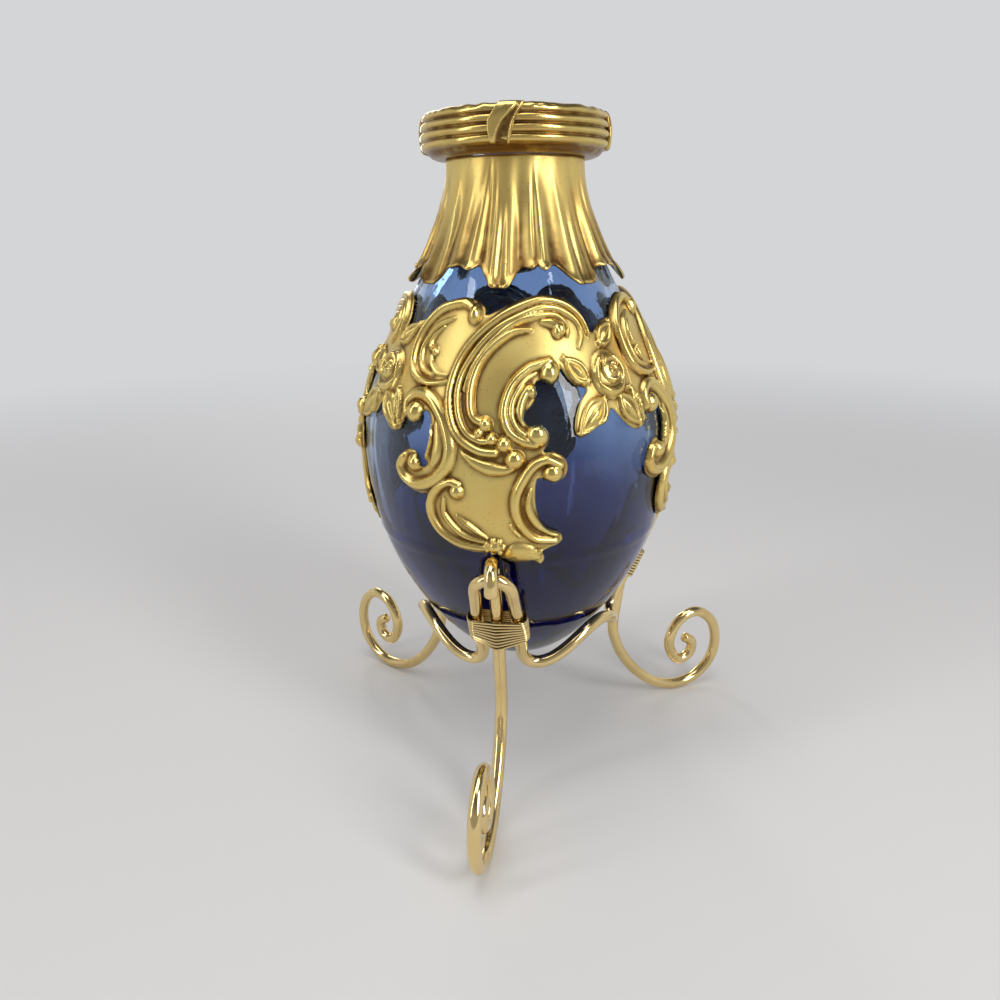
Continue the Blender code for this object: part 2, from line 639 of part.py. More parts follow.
def leg_line():
    """Outward and up, from the hook over the arch, down to the floor and round the scroll."""
    top_out, top_up = arch_top()
    foot_out, foot_up = arch_foot()
    reach = 2 * WIRE_RADIUS + GAP
    hook = [(top_out + reach, top_up - HOOK_TAIL)]
    for step in range(ARCH_STEPS + 1):
        bend = math.pi * step / ARCH_STEPS
        hook.append((top_out + reach * math.cos(bend), top_up + reach * math.sin(bend)))
    lean_out, lean_up = arch_lean()
    half = BINDING_LOOPS * BINDING_PITCH / 2 + 2 * BINDING_WIRE_RADIUS
    beyond = half + WIRE_RADIUS
    upright = [(foot_out + LEG_FORWARD * lean_up + lean_out * along,
                foot_up - LEG_FORWARD * lean_out + lean_up * along)
               for along in (beyond, half, 0.0, -half, -beyond)]
    scroll = [(FOOT_RADIUS + out * MM, WIRE_RADIUS + up * MM) for out, up in FOOT_SCROLL]
    return hook, upright, scroll


def make_leg(name, azimuth, parent):
    hook, upright, scroll = leg_line()
    line = curve_through(hook + upright + scroll, WIRE_CURVE_STEPS)
    points = standing([(out, 0.0, up) for out, up in line], azimuth)
    return wire(name, points, WIRE_RADIUS, WIRE_RESOLUTION, BRASS_WIRE, parent)


# Bindings

def straight_on(before, end):
    """The point one wire's diameter past the end of a line."""
    return end + (end - before) / np.linalg.norm(end - before) * 2 * BINDING_WIRE_RADIUS


def binding_line():
    """Outward, sideways and up: turns laid round the arch's two uprights and the leg's wire."""
    lean_out, lean_up = arch_lean()
    foot_out, foot_up = arch_foot()
    around = WIRE_RADIUS + GAP + BINDING_WIRE_RADIUS
    cores = [(0.0, -ARCH_HALF_WIDTH), (0.0, ARCH_HALF_WIDTH), (LEG_FORWARD * lean_up, 0.0)]
    points = []
    start = -BINDING_LOOPS * BINDING_PITCH / 2
    for index in range(BINDING_LOOPS * POINTS_PER_LOOP + 1):
        share = index / POINTS_PER_LOOP
        bend = math.pi + 2 * math.pi * share
        out, side = max(cores, key=lambda core: core[0] * math.cos(bend) + core[1] * math.sin(bend))
        out += around * math.cos(bend)
        side += around * math.sin(bend)
        along = start + BINDING_PITCH * share
        points.append(np.array([foot_out + out * lean_up + along * lean_out, side,
                                foot_up - out * lean_out + along * lean_up]))
    return [straight_on(points[1], points[0])] + points + [straight_on(points[-2], points[-1])]


def least_gap(points, radius, skip):
    """Least clear distance between stretches of one wire that lie so many points apart."""
    fine = np.array(evenly_spaced(points, radius))
    ratio = len(fine) / len(points)
    apart = int(skip * ratio)
    least = min(np.linalg.norm(fine[apart + index:] - place, axis=1).min()
                for index, place in enumerate(fine[:-apart]))
    return least - 2 * radius


def make_bindings(parent):
    line = binding_line()
    gap = least_gap(line, BINDING_WIRE_RADIUS, POINTS_PER_LOOP // 2)
    print(f"binding: {BINDING_LOOPS} turns, least gap to itself {gap / MM:.3f} mm")
    for leg, azimuth in enumerate(leg_azimuths()):
        wire(f"leg_binding_{leg + 1}", standing(line, azimuth), BINDING_WIRE_RADIUS, 1,
             BRASS_WIRE, parent)


def middle_over_origin(root):
    """Moves the whole object so that its bounding box stands centred on the origin."""
    bpy.context.view_layer.update()
    graph = bpy.context.evaluated_depsgraph_get()
    corners = []
    for made in bpy.data.objects:
        if made.type == "EMPTY" or made.hide_render:
            continue
        evaluated = made.evaluated_get(graph)
        mesh = evaluated.to_mesh()
        corners += [evaluated.matrix_world @ vert.co for vert in mesh.vertices]
        evaluated.to_mesh_clear()
    corners = np.array(corners)
    low, high = corners.min(axis=0), corners.max(axis=0)
    root.location = (-(low[0] + high[0]) / 2, -(low[1] + high[1]) / 2, -low[2])
    bpy.context.view_layer.update()
    print("size", np.round((high - low) / MM, 2), "axis at", [round(v / MM, 3) for v in root.location])


def main():
    clear_scene()
    root = empty("vase_on_stand")
    vase = empty("vase", root)
    stand = empty("stand", root)
    make_glass(vase)
    make_rim(vase)
    make_collar(vase)
    make_mounts(vase)
    make_cradle(stand)
    for leg, azimuth in enumerate(leg_azimuths()):
        make_leg(f"leg_wire_{leg + 1}", azimuth, stand)
    make_bindings(stand)
    middle_over_origin(root)


main()
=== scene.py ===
# %% [markdown]
# # An egg-shaped vase in a wire stand
# A small cobalt glass vase rests in the cradle of a three-legged brass wire stand. A gilt band with
# reeds and ribbons closes its lip, a pleated gilt collar covers its neck, and four stamped gilt
# mounts with scrolls and roses lie round its belly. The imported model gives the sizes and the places;
# this file dresses each part of it, so every piece stands where its solid stands.

# %% Load the frame
import math

import bmesh
import bpy
import numpy as np
from mathutils import Euler, Matrix, Vector
from mathutils.kdtree import KDTree


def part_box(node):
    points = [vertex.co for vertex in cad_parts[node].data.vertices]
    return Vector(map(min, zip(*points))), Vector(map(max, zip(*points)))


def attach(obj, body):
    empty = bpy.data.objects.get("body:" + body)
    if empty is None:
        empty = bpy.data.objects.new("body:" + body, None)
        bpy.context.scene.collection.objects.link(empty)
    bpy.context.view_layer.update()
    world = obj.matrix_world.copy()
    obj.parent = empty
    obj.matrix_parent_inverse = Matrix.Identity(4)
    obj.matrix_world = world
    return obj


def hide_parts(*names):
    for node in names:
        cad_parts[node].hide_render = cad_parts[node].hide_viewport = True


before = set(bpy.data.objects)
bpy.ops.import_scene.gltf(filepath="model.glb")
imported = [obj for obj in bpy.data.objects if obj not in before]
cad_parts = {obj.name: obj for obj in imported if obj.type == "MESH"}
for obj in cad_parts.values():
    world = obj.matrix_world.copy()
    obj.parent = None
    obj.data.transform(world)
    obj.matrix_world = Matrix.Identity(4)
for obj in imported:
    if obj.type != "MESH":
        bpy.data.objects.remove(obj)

FRONT = -math.pi / 2
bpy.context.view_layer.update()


def new_object(name, data):
    made = bpy.data.objects.new(name, data)
    bpy.context.collection.objects.link(made)
    return made


MM = 0.001
glass_low, glass_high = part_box("glass_vase")
AXIS_Y = (glass_low.y + glass_high.y) / 2

# %% [markdown]
# ## Help with materials
# A material is a tree of nodes. A few short functions add a node, feed its inputs and give back its
# output, so that a mask or a colour further on is one readable line.

# %% Node helpers


def feed(tree, node, values):
    """Gives a node's inputs a number, a colour or the output of another node."""
    for name, value in values.items():
        socket = node.inputs[name]
        if isinstance(value, bpy.types.NodeSocket):
            tree.links.new(value, socket)
        else:
            socket.default_value = (*value, 1.0) if socket.type == "RGBA" else value


def add_node(tree, kind, values, **settings):
    made = tree.nodes.new("ShaderNode" + kind)
    for setting, value in settings.items():
        setattr(made, setting, value)
    feed(tree, made, values)
    return made


def new_material(name):
    made = bpy.data.materials.new(name)
    made.use_nodes = True
    return made, made.node_tree, made.node_tree.nodes["Principled BSDF"]


def object_place(tree):
    """Where a point lies on the object itself, so that no pattern slides."""
    return tree.nodes.new("ShaderNodeTexCoord").outputs["Object"]


def attribute(tree, name):
    return add_node(tree, "Attribute", {}, attribute_name=name).outputs["Fac"]


def noise(tree, place, scale, detail, roughness):
    values = {"Vector": place, "Scale": scale, "Detail": detail, "Roughness": roughness}
    return add_node(tree, "TexNoise", values).outputs["Fac"]


def spots(tree, place, scale):
    """How far it is to the nearest of many scattered points."""
    values = {"Vector": place, "Scale": scale, "Randomness": 1.0}
    return add_node(tree, "TexVoronoi", values).outputs["Distance"]


def squeezed(tree, place, scale):
    return add_node(tree, "Mapping", {"Vector": place, "Scale": scale}).outputs["Vector"]


def maths(tree, operation, first, second, clamp=False):
    values = {0: first, 1: second}
    made = add_node(tree, "Math", values, operation=operation, use_clamp=clamp)
    return made.outputs["Value"]


def times(tree, first, second, clamp=False):
    return maths(tree, "MULTIPLY", first, second, clamp)


def plus(tree, first, second):
    return maths(tree, "ADD", first, second)


def minus(tree, first, second, clamp=False):
    return maths(tree, "SUBTRACT", first, second, clamp)


def stretched(tree, value, low, high, easing="LINEAR"):
    """The value's share of the way from low to high, between 0 and 1."""
    values = {"Value": value, "From Min": low, "From Max": high}
    return add_node(tree, "MapRange", values, interpolation_type=easing).outputs["Result"]


def mixed(tree, share, first, second):
    """A colour between two; each of the three may be an output or a value."""
    values = {0: share, 6: first, 7: second}
    return add_node(tree, "Mix", values, data_type="RGBA").outputs[2]


def bumped(tree, height, strength, distance):
    values = {"Height": height, "Strength": strength, "Distance": distance}
    return add_node(tree, "Bump", values).outputs["Normal"]


# %% [markdown]
# ## Studio
# Polished metal and glass show their surroundings more than themselves. A plain white box would make
# the gold look flat, so the wall in view is pale, the room behind the camera darker and the ceiling
# darkest, and a few soft lamps give the long bright reflections that describe a round shape. The
# floor is pale paper, which far out takes the colour of what is behind it, so no edge shows.

# %% Floor
FLOOR_COLOUR = (0.72, 0.71, 0.7)
FLOOR_ROUGHNESS = 0.75
FLOOR_RADIUS = 4.0
FLOOR_NEAR, FLOOR_FAR = 0.14, 0.75
WALL_COLOUR = (0.66, 0.665, 0.68)
ROOM_COLOUR = (0.36, 0.35, 0.345)
CEILING_COLOUR = (0.12, 0.12, 0.13)
ROOM_FROM, WALL_FROM = -0.75, 0.05
CEILING_FROM, CEILING_FULL = 0.35, 0.8


def wall_and_room(tree, direction):
    """Pale where the camera looks, and darker behind it."""
    forward = add_node(tree, "SeparateXYZ", {"Vector": direction})
    facing = stretched(tree, forward.outputs["Y"], ROOM_FROM, WALL_FROM, "SMOOTHSTEP")
    return mixed(tree, facing, ROOM_COLOUR, WALL_COLOUR), forward.outputs["Z"]


bm = bmesh.new()
bmesh.ops.create_circle(bm, cap_ends=True, radius=FLOOR_RADIUS, segments=96)
floor_mesh = bpy.data.meshes.new("studio_floor")
bm.to_mesh(floor_mesh)
bm.free()
floor = new_object("studio_floor", floor_mesh)
paper, tree, shader = new_material("studio_paper")
feed(tree, shader, {"Base Color": FLOOR_COLOUR, "Roughness": FLOOR_ROUGHNESS})
place = {0: object_place(tree)}
away = add_node(tree, "VectorMath", place, operation="LENGTH").outputs["Value"]
direction = add_node(tree, "VectorMath", place, operation="NORMALIZE").outputs["Vector"]
fade = stretched(tree, away, FLOOR_NEAR, FLOOR_FAR, "SMOOTHSTEP")
backdrop = add_node(tree, "Emission", {"Color": wall_and_room(tree, direction)[0]})
blend = add_node(tree, "MixShader", {0: fade, 1: shader.outputs[0], 2: backdrop.outputs[0]})
feed(tree, tree.nodes["Material Output"], {"Surface": blend.outputs[0]})
floor_mesh.materials.append(paper)

# %% Surroundings
world = bpy.data.worlds.new("studio_room")
bpy.context.scene.world = world
world.use_nodes = True
room = world.node_tree
walls, upward = wall_and_room(room, room.nodes.new("ShaderNodeTexCoord").outputs["Generated"])
overhead = stretched(room, upward, CEILING_FROM, CEILING_FULL, "SMOOTHSTEP")
feed(room, room.nodes["Background"], {"Color": mixed(room, overhead, walls, CEILING_COLOUR)})
bpy.context.scene.view_settings.view_transform = "Standard"
print("studio with floor, wall, room and ceiling")

# %% Lamps
LAMPS = [
    # name, place, width, height, power
    ("window", (0.4, -0.3, 0.36), 0.14, 0.44, 1.6),
    ("fill", (-0.42, -0.3, 0.38), 0.06, 0.7, 0.8),
    ("overhead", (-0.05, -0.1, 0.8), 0.5, 0.5, 2.2),
    ("back", (-0.25, 0.55, 0.35), 0.1, 0.45, 0.5),
]
TARGET = Vector((0.0, AXIS_Y, 0.085))
for name, place, width, height, power in LAMPS:
    light = bpy.data.lights.new(name, "AREA")
    light.shape = "RECTANGLE"
    light.size, light.size_y, light.energy = width, height, power
    lamp = new_object(name, light)
    lamp.location = place
    lamp.rotation_euler = (TARGET - Vector(place)).to_track_quat("-Z", "Y").to_euler()
print(len(LAMPS), "soft lamps")

# %% [markdown]
# ## Camera
# The photograph was taken from near by, looking down a little: the ellipse of the rim is almost a
# line, so the lens stands a little below the rim. Its place was found by matching the silhouette and
# the three feet.

# %% Camera at the photograph's place
LENS_MM, SENSOR_MM = 28.8, 36.0
CAMERA_PLACE = (0.02807, -0.1792, 0.13087)
CAMERA_HEADING = math.radians(9.629)
CAMERA_TILT = math.radians(90.0 - 18.4)
CAMERA_ROLL = math.radians(-0.827)

optics = bpy.data.cameras.new("camera")
optics.lens = LENS_MM
optics.sensor_width = SENSOR_MM
optics.clip_start = 0.01
camera = new_object("camera", optics)
aim = Euler((CAMERA_TILT, 0.0, CAMERA_HEADING)).to_matrix() @ Matrix.Rotation(CAMERA_ROLL, 3, "Z")
camera.location = CAMERA_PLACE
camera.rotation_euler = aim.to_euler()
bpy.context.scene.camera = camera
print("camera", round((camera.location - TARGET).length / MM), "mm from the vase")

# %% [markdown]
# ## Gilt metal
# The mounts are thin brass, stamped and gilt. The gold isn't one colour: it drifts between a warm
# and a greenish yellow, has fine dark pits, and is duller where nothing rubs it. Its hollows are
# darkened, partly as dirt and partly as painted shade. All gilt pieces share this, so it is a node
# group, which gives a colour, a roughness and a height.

# %% The shared gilt group
GILT_WARM = (0.79, 0.55, 0.17)
GILT_PALE = (0.82, 0.655, 0.225)
GILT_DIRT_AND_SHADE = (0.2, 0.105, 0.03)
PIT_SIZE, PIT_DIRT, PIT_DEPTH = 0.14, 0.35, 0.5
DIRT_AND_SHADE_GAIN = 2.1
RUB_DULLNESS, POLISH = 0.1, 0.05
DRIFT_HEIGHT = 1.2

gilt = bpy.data.node_groups.new("aged_and_shaded_gilt", "ShaderNodeTree")
for label in ("Hollow", "Raised", "Dull", "Bright", "Grain"):
    gilt.interface.new_socket(label, in_out="INPUT", socket_type="NodeSocketFloat")
for label, kind in (("Colour", "Color"), ("Roughness", "Float"), ("Height", "Float")):
    gilt.interface.new_socket(label, in_out="OUTPUT", socket_type="NodeSocket" + kind)
given = gilt.nodes.new("NodeGroupInput").outputs
place = object_place(gilt)
drift = noise(gilt, place, 70, 3, 0.55)
rub = noise(gilt, place, 240, 4, 0.6)
stipple = noise(gilt, squeezed(gilt, place, (0.22, 0.22, 1)), 2600, 2, 0.6)
pit = maths(gilt, "LESS_THAN", spots(gilt, place, 900), PIT_SIZE)
colour = mixed(gilt, stretched(gilt, drift, 0.35, 0.65), GILT_WARM, GILT_PALE)
# Deep places darken towards a dark brown: partly dirt, partly painted shade in the hollows
dirt_and_shade = times(gilt, times(gilt, given["Hollow"], rub, clamp=True), DIRT_AND_SHADE_GAIN, clamp=True)
colour = mixed(gilt, dirt_and_shade, colour, GILT_DIRT_AND_SHADE)
colour = mixed(gilt, times(gilt, pit, PIT_DIRT), colour, GILT_DIRT_AND_SHADE)
span = minus(gilt, given["Bright"], given["Dull"])
rough = plus(gilt, given["Dull"], times(gilt, span, given["Raised"]))
rough = plus(gilt, rough, times(gilt, rub, RUB_DULLNESS))
rough = minus(gilt, rough, POLISH, clamp=True)
flat_share = minus(gilt, 1.0, given["Raised"], clamp=True)
grain = times(gilt, stipple, times(gilt, flat_share, given["Grain"]))
grain = plus(gilt, grain, times(gilt, drift, DRIFT_HEIGHT))
height = minus(gilt, grain, times(gilt, pit, PIT_DEPTH))
feed(gilt, gilt.nodes.new("NodeGroupOutput"), {"Colour": colour, "Roughness": rough, "Height": height})
print("gilt group:", len(gilt.nodes), "nodes")

# %% Gilt finishes


def gilt_finish(name, dull, bright, grain):
    """Gold that is satin in the open and polished on what stands out."""
    made, tree, shader = new_material(name)
    aged_and_shaded = add_node(tree, "Group", {}, node_tree=gilt)
    feed(tree, aged_and_shaded, {"Dull": dull, "Bright": bright, "Grain": grain,
                      "Raised": attribute(tree, "raised"), "Hollow": attribute(tree, "hollow")})
    feed(tree, shader, {
        "Base Color": aged_and_shaded.outputs["Colour"], "Roughness": aged_and_shaded.outputs["Roughness"], "Metallic": 1.0,
        "Normal": bumped(tree, aged_and_shaded.outputs["Height"], strength=0.22, distance=0.00006)})
    return made


GILT_RELIEF = gilt_finish("gilt_relief", 0.38, 0.22, 1.0)
GILT_SATIN = gilt_finish("gilt_satin", 0.42, 0.22, 1.0)
GILT_BAND = gilt_finish("gilt_band", 0.3, 0.2, 0.5)
print("finishes", GILT_RELIEF.name, GILT_SATIN.name, GILT_BAND.name)

# %% [markdown]
# ## Cobalt glass
# The glass is blown into a mould, so it is thick, uneven and has a few seeds. Its blue is in the
# glass itself: the thicker the wall, the less light comes through, and the base looks almost black.
# A volume would do this truly, but it is slow and is lost in many viewers, so the colour of the
# surface gets deeper towards the base instead, with a border as uneven as the wall. Below the belly
# this darkness is also a painted reflection of a dark surface under the vase.

# %% Glass finish
GLASS_CLEAR = (0.46, 0.6, 0.84)
GLASS_DEEP = (0.018, 0.027, 0.19)
GLASS_PALE_Z = 0.086
GLASS_DEEP_Z = 0.064
GLASS_FLOW = 0.02
SEED_SIZE, SEED_HEIGHT = 0.12, 0.12
STREAK_HEIGHT = 0.06

GLASS, tree, shader = new_material("cobalt_glass")
place = object_place(tree)
upward = add_node(tree, "SeparateXYZ", {"Vector": place}).outputs["Z"]
drawn = squeezed(tree, place, (1.0, 1.0, 0.3))
waves, streaks = noise(tree, drawn, 75, 2, 0.45), noise(tree, drawn, 420, 2, 0.5)
# Darker below the belly: deeper glass, and a painted reflection of a dark surface below
flow = plus(tree, upward, times(tree, waves, GLASS_FLOW))
thickness = stretched(tree, flow, GLASS_DEEP_Z + GLASS_FLOW / 2, GLASS_PALE_Z + GLASS_FLOW / 2)
seed = stretched(tree, spots(tree, place, 150), SEED_SIZE, 0)
surface = plus(tree, waves, times(tree, seed, SEED_HEIGHT))
surface = plus(tree, surface, times(tree, streaks, STREAK_HEIGHT))
feed(tree, shader, {
    "Base Color": mixed(tree, thickness, GLASS_DEEP, GLASS_CLEAR), "Roughness": 0.02, "IOR": 1.51,
    "Transmission Weight": 1.0, "Normal": bumped(tree, surface, strength=0.5, distance=0.0009)})

# %% [markdown]
# ## Drawn brass
# The stand's wire is bare brass, paler and more polished than the gilding. Its tarnish drifts slowly
# along it and its scratches are very fine, so it takes two noises. Between the turns of the bindings
# the colour is darkened, partly as dirt and partly as painted shade, where an attribute of the mesh
# says how hollow a place is.

# %% Wire finish
WIRE_BRASS = (0.83, 0.64, 0.3)
WIRE_DARK = (0.4, 0.25, 0.09)
WIRE_DIRT_AND_SHADE = (0.05, 0.028, 0.01)
TARNISH = 0.35
WIRE_POLISH, WIRE_SMEAR = 0.07, 0.12

WIRE, tree, shader = new_material("drawn_brass")
place = object_place(tree)
tone, marks = noise(tree, place, 110, 3, 0.5), noise(tree, place, 900, 3, 0.7)
tarnish = times(tree, stretched(tree, tone, 0.5, 0.75), TARNISH)
worn = mixed(tree, tarnish, WIRE_BRASS, WIRE_DARK)
# Where the mesh is hollow, between binding turns, the colour darkens: dirt and painted shade
feed(tree, shader, {
    "Base Color": mixed(tree, attribute(tree, "hollow"), worn, WIRE_DIRT_AND_SHADE), "Metallic": 1.0,
    "Roughness": plus(tree, times(tree, marks, WIRE_SMEAR), WIRE_POLISH),
    "Normal": bumped(tree, marks, strength=0.12, distance=0.00004)})
print("finishes", GLASS.name, WIRE.name)

# %% [markdown]
# ## The shape of the glass
# Everything on the vase is placed by the glass: the radius at a height, and a point beside the
# surface at some distance. Below the belly the outline is close to a quarter of a sine, and above it
# sinks to the neck along a cosine.

# %% Outline of the vase
BASE_Z, BASE_RADIUS = 0.028, 0.009
BELLY_Z, BELLY_RADIUS = 0.084, 0.0373
NECK_Z, NECK_RADIUS = 0.146, 0.0146
BOWL_FULLNESS = 0.735
GLASS_WALL, GLASS_FLOOR = 0.0026, 0.0045
LIP_RADIUS, LIP_FLARE, LIP_HEIGHT = 0.0182, 0.0036, 0.005
MOUTH_RADIUS = 0.0132


def glass_radius(height):
    if height <= BELLY_Z:
        share = max(height - BASE_Z, 0.0) / (BELLY_Z - BASE_Z)
        swell = math.sin(math.pi / 2 * share ** BOWL_FULLNESS)
        return BASE_RADIUS + (BELLY_RADIUS - BASE_RADIUS) * swell
    share = min((height - BELLY_Z) / (NECK_Z - BELLY_Z), 1.0)
    return NECK_RADIUS + (BELLY_RADIUS - NECK_RADIUS) * (1 + math.cos(math.pi * share)) / 2


def beside_glass(height, distance):
    """Radius and height of the point so far outside the glass."""
    reach = 0.0002
    slope = (glass_radius(height + reach) - glass_radius(height - reach)) / (2 * reach)
    length = math.hypot(1.0, slope)
    return glass_radius(height) + distance / length, height - distance * slope / length


def round_axis(radius, height, azimuth):
    return Vector((radius * math.cos(azimuth), AXIS_Y + radius * math.sin(azimuth), height))


print("the belly is", round(2 * BELLY_RADIUS / MM, 1), "mm wide")

# %% Making pieces
WELD = 0.000002


def add_mesh(name, mesh, finish, body, stands_for=()):
    """Makes a mesh a piece that rides on a body."""
    mesh.name = name
    mesh.materials.clear()
    mesh.materials.append(finish)
    piece = new_object(name, mesh)
    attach(piece, body)
    if stands_for:
        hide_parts(*stands_for)
    print(name, len(mesh.polygons), "faces")
    return piece


def add_piece(name, bm, finish, body, stands_for=(), smooth_angle=math.radians(40)):
    """Turns a bmesh into a piece."""
    mesh = bpy.data.meshes.new(name)
    bm.to_mesh(mesh)
    bm.free()
    mesh.shade_smooth()
    mesh.set_sharp_from_angle(angle=smooth_angle)
    return add_mesh(name, mesh, finish, body, stands_for)


def thicken(piece, thickness):
    """Gives a sheet its thickness, inwards from its face."""
    sheet = piece.modifiers.new("sheet", "SOLIDIFY")
    sheet.thickness = thickness
    sheet.offset = -1.0


def wear_and_shade_layers(bm):
    """How far a vertex stands out, for polish, and how deep it lies, for dirt and painted shade."""
    return bm.verts.layers.float.new("raised"), bm.verts.layers.float.new("hollow")


def spun(profile, steps):
    """An outline of radii and heights, spun round the vase's axis."""
    bm = bmesh.new()
    verts = [bm.verts.new((radius, AXIS_Y, height)) for radius, height in profile]
    edges = [bm.edges.new(pair) for pair in zip(verts, verts[1:])]
    if profile[0][0] > 0.0:
        edges.append(bm.edges.new((verts[-1], verts[0])))
    bmesh.ops.spin(bm, geom=verts + edges, cent=(0, AXIS_Y, 0), axis=(0, 0, 1), angle=math.tau,
                   steps=steps, use_merge=True)
    bmesh.ops.remove_doubles(bm, verts=bm.verts, dist=WELD)
    bmesh.ops.recalc_face_normals(bm, faces=bm.faces)
    return bm


# %% [markdown]
# ## Glass vase
# A bottle is a solid of revolution, so one outline is spun round the axis: up the outside, over the
# lip and down inside, since light that passes through the wall shows how thick it is. A fine raised
# line low on the bowl shows where two parts of the mould met.

# %% Spin the glass
GLASS_STEPS = 144
OUTSIDE_ROWS = 96
MOULD_LINE_Z, MOULD_LINE_HEIGHT, MOULD_LINE_WIDTH = 0.064, 0.0003, 0.0005
LIP_ROUNDING = 0.001

outside = [(0.0, BASE_Z + 0.0006), (BASE_RADIUS * 0.6, BASE_Z + 0.0005), (BASE_RADIUS * 0.8, BASE_Z)]
for row in range(1, OUTSIDE_ROWS + 1):
    height = BASE_Z + (NECK_Z - BASE_Z) * (row / OUTSIDE_ROWS) ** 1.15
    line = MOULD_LINE_HEIGHT * math.exp(-((height - MOULD_LINE_Z) / MOULD_LINE_WIDTH) ** 2)
    outside.append((glass_radius(height) + line, height))
lip_top = NECK_Z + LIP_FLARE + LIP_HEIGHT
lip = [(LIP_RADIUS, NECK_Z + LIP_FLARE)]
height = lip_top - LIP_ROUNDING
for radius, start in ((LIP_RADIUS - LIP_ROUNDING, 0), (MOUTH_RADIUS + LIP_ROUNDING, 90)):
    for bend in np.radians(range(start, start + 91, 15)):
        lip.append((radius + LIP_ROUNDING * math.cos(bend), height + LIP_ROUNDING * math.sin(bend)))
inside = []
for row in range(OUTSIDE_ROWS // 2):
    height = NECK_Z - (NECK_Z - BASE_Z) * row / (OUTSIDE_ROWS // 2)
    radius, place_z = beside_glass(height, -GLASS_WALL)
    if place_z > BASE_Z + GLASS_FLOOR * 1.3:
        inside.append((radius, place_z))
inside += [(inside[-1][0] * 0.75, BASE_Z + GLASS_FLOOR), (0.0, BASE_Z + GLASS_FLOOR)]
bm = spun(outside + lip + inside, GLASS_STEPS)
add_piece("cobalt_vase", bm, GLASS, "vase", ["glass_vase"])

# %% [markdown]
# ## Rim band
# The band is a reed-and-ribbon moulding: four half-round reeds run round a barrel-shaped band, and
# four broad ribbons are wrapped slantwise over them. The band is spun like the glass. Each ribbon is
# a small sheet that follows the band's outline from its underside to its top edge, with its ends
# tucked in.

# %% Spin the band
RIM_LOW_Z = NECK_Z + 0.0006
RIM_TOP_Z = lip_top + 0.0011
RIM_HEIGHT = RIM_TOP_Z - RIM_LOW_Z
RIM_RADIUS = 0.0211
RIM_INNER_RADIUS = LIP_RADIUS - 0.0024
RIM_STEPS = 240
RIM_CHAMFER = LIP_SPARE = 0.0003
REED_COUNT = 4
REED_DEPTH = 0.00085
BARREL = 0.0011
POINTS_PER_REED = 12
UNDERSIDE_RADIUS = 0.0171
UNDERSIDE_OUT, UNDERSIDE_UP = 0.0024, 0.0016
DENT, TOP_DENT, TOP_WAVE = 0.00006, 0.00011, 0.0001


def barrel_radius(share):
    """Radius of the reeds' crests at a share of the band's height."""
    return RIM_RADIUS - BARREL * abs(2 * share - 1) ** 2.2


underside = [(NECK_RADIUS + 0.0006, RIM_LOW_Z)]
for bend in np.radians((-90, -70, -50, -30, -12)):
    underside.append((UNDERSIDE_RADIUS + UNDERSIDE_OUT * math.cos(bend),
                      RIM_LOW_Z + UNDERSIDE_UP * (1 + math.sin(bend))))
reeds_low = underside[-1][1] + 0.0001
reeds = []
for reed in range(REED_COUNT):
    for step in range(POINTS_PER_REED):
        across = (step + 0.5) / POINTS_PER_REED
        share = (reed + across) / REED_COUNT
        crown = (1 - abs(2 * across - 1) ** 2.6) ** 0.8
        height = reeds_low + (RIM_TOP_Z - reeds_low) * share
        radius = barrel_radius((height - RIM_LOW_Z) / RIM_HEIGHT)
        reeds.append((radius - REED_DEPTH * (1 - crown), height))
wall, over_lip = LIP_RADIUS + LIP_SPARE, lip_top + LIP_SPARE
closing = [(RIM_INNER_RADIUS + RIM_CHAMFER, RIM_TOP_Z), (RIM_INNER_RADIUS, RIM_TOP_Z - RIM_CHAMFER),
           (RIM_INNER_RADIUS, over_lip), (wall, over_lip), (wall, NECK_Z + LIP_FLARE)]
bm = spun(underside + reeds + closing, RIM_STEPS)


def wobble(turn, waves, phase):
    return math.sin(math.tau * waves * turn + phase)


raised, hollow = wear_and_shade_layers(bm)
for vert in bm.verts:
    x, y, z = vert.co
    out = Vector((x, y - AXIS_Y, 0.0))
    depth = (barrel_radius((z - RIM_LOW_Z) / RIM_HEIGHT) - out.length) / REED_DEPTH
    # How deep a place lies between the reeds; the finish darkens it there with dirt and painted shade
    vert[hollow] = min(max(depth, 0.0) ** 0.5, 1.0) if z < RIM_TOP_Z - 0.0001 else 0.0
    vert[raised] = 1 - vert[hollow]
    if out.length > LIP_RADIUS + 0.001:
        turn = math.atan2(out.y, out.x) / math.tau
        near_top = max(0.0, 1 - (RIM_TOP_Z - z) / 0.0016)
        top_dent = near_top * TOP_DENT * wobble(turn, 34, 4 * wobble(turn, 5, 0))
        vert.co += out.normalized() * (DENT * wobble(turn, 9, z * 900) + top_dent)
        vert.co.z += near_top * TOP_WAVE * wobble(turn, 21, 3 * wobble(turn, 4, 1))
add_piece("reeded_band", bm, GILT_BAND, "vase", ["rim_band"], math.radians(75))

# %% Wrap the ribbons
RIBBON_COUNT = 4
RIBBON_ROWS, RIBBON_COLUMNS = 30, 40
RIBBON_SHEET = 0.0005
RIBBON_LIFT = 0.00045
RIBBON_TUCK = 0.00035
RIBBON_LEFT = [(0.0, -2.1), (0.3, -2.7), (0.55, -2.7), (0.75, -1.8), (1.0, -0.4)]
RIBBON_RIGHT = [(0.0, 2.0), (0.5, 3.1), (1.0, 5.3)]
# Where the fold's front turns back, as a share of the width, at the lower and the upper end
RIBBON_BEND = (0.18, 0.72)

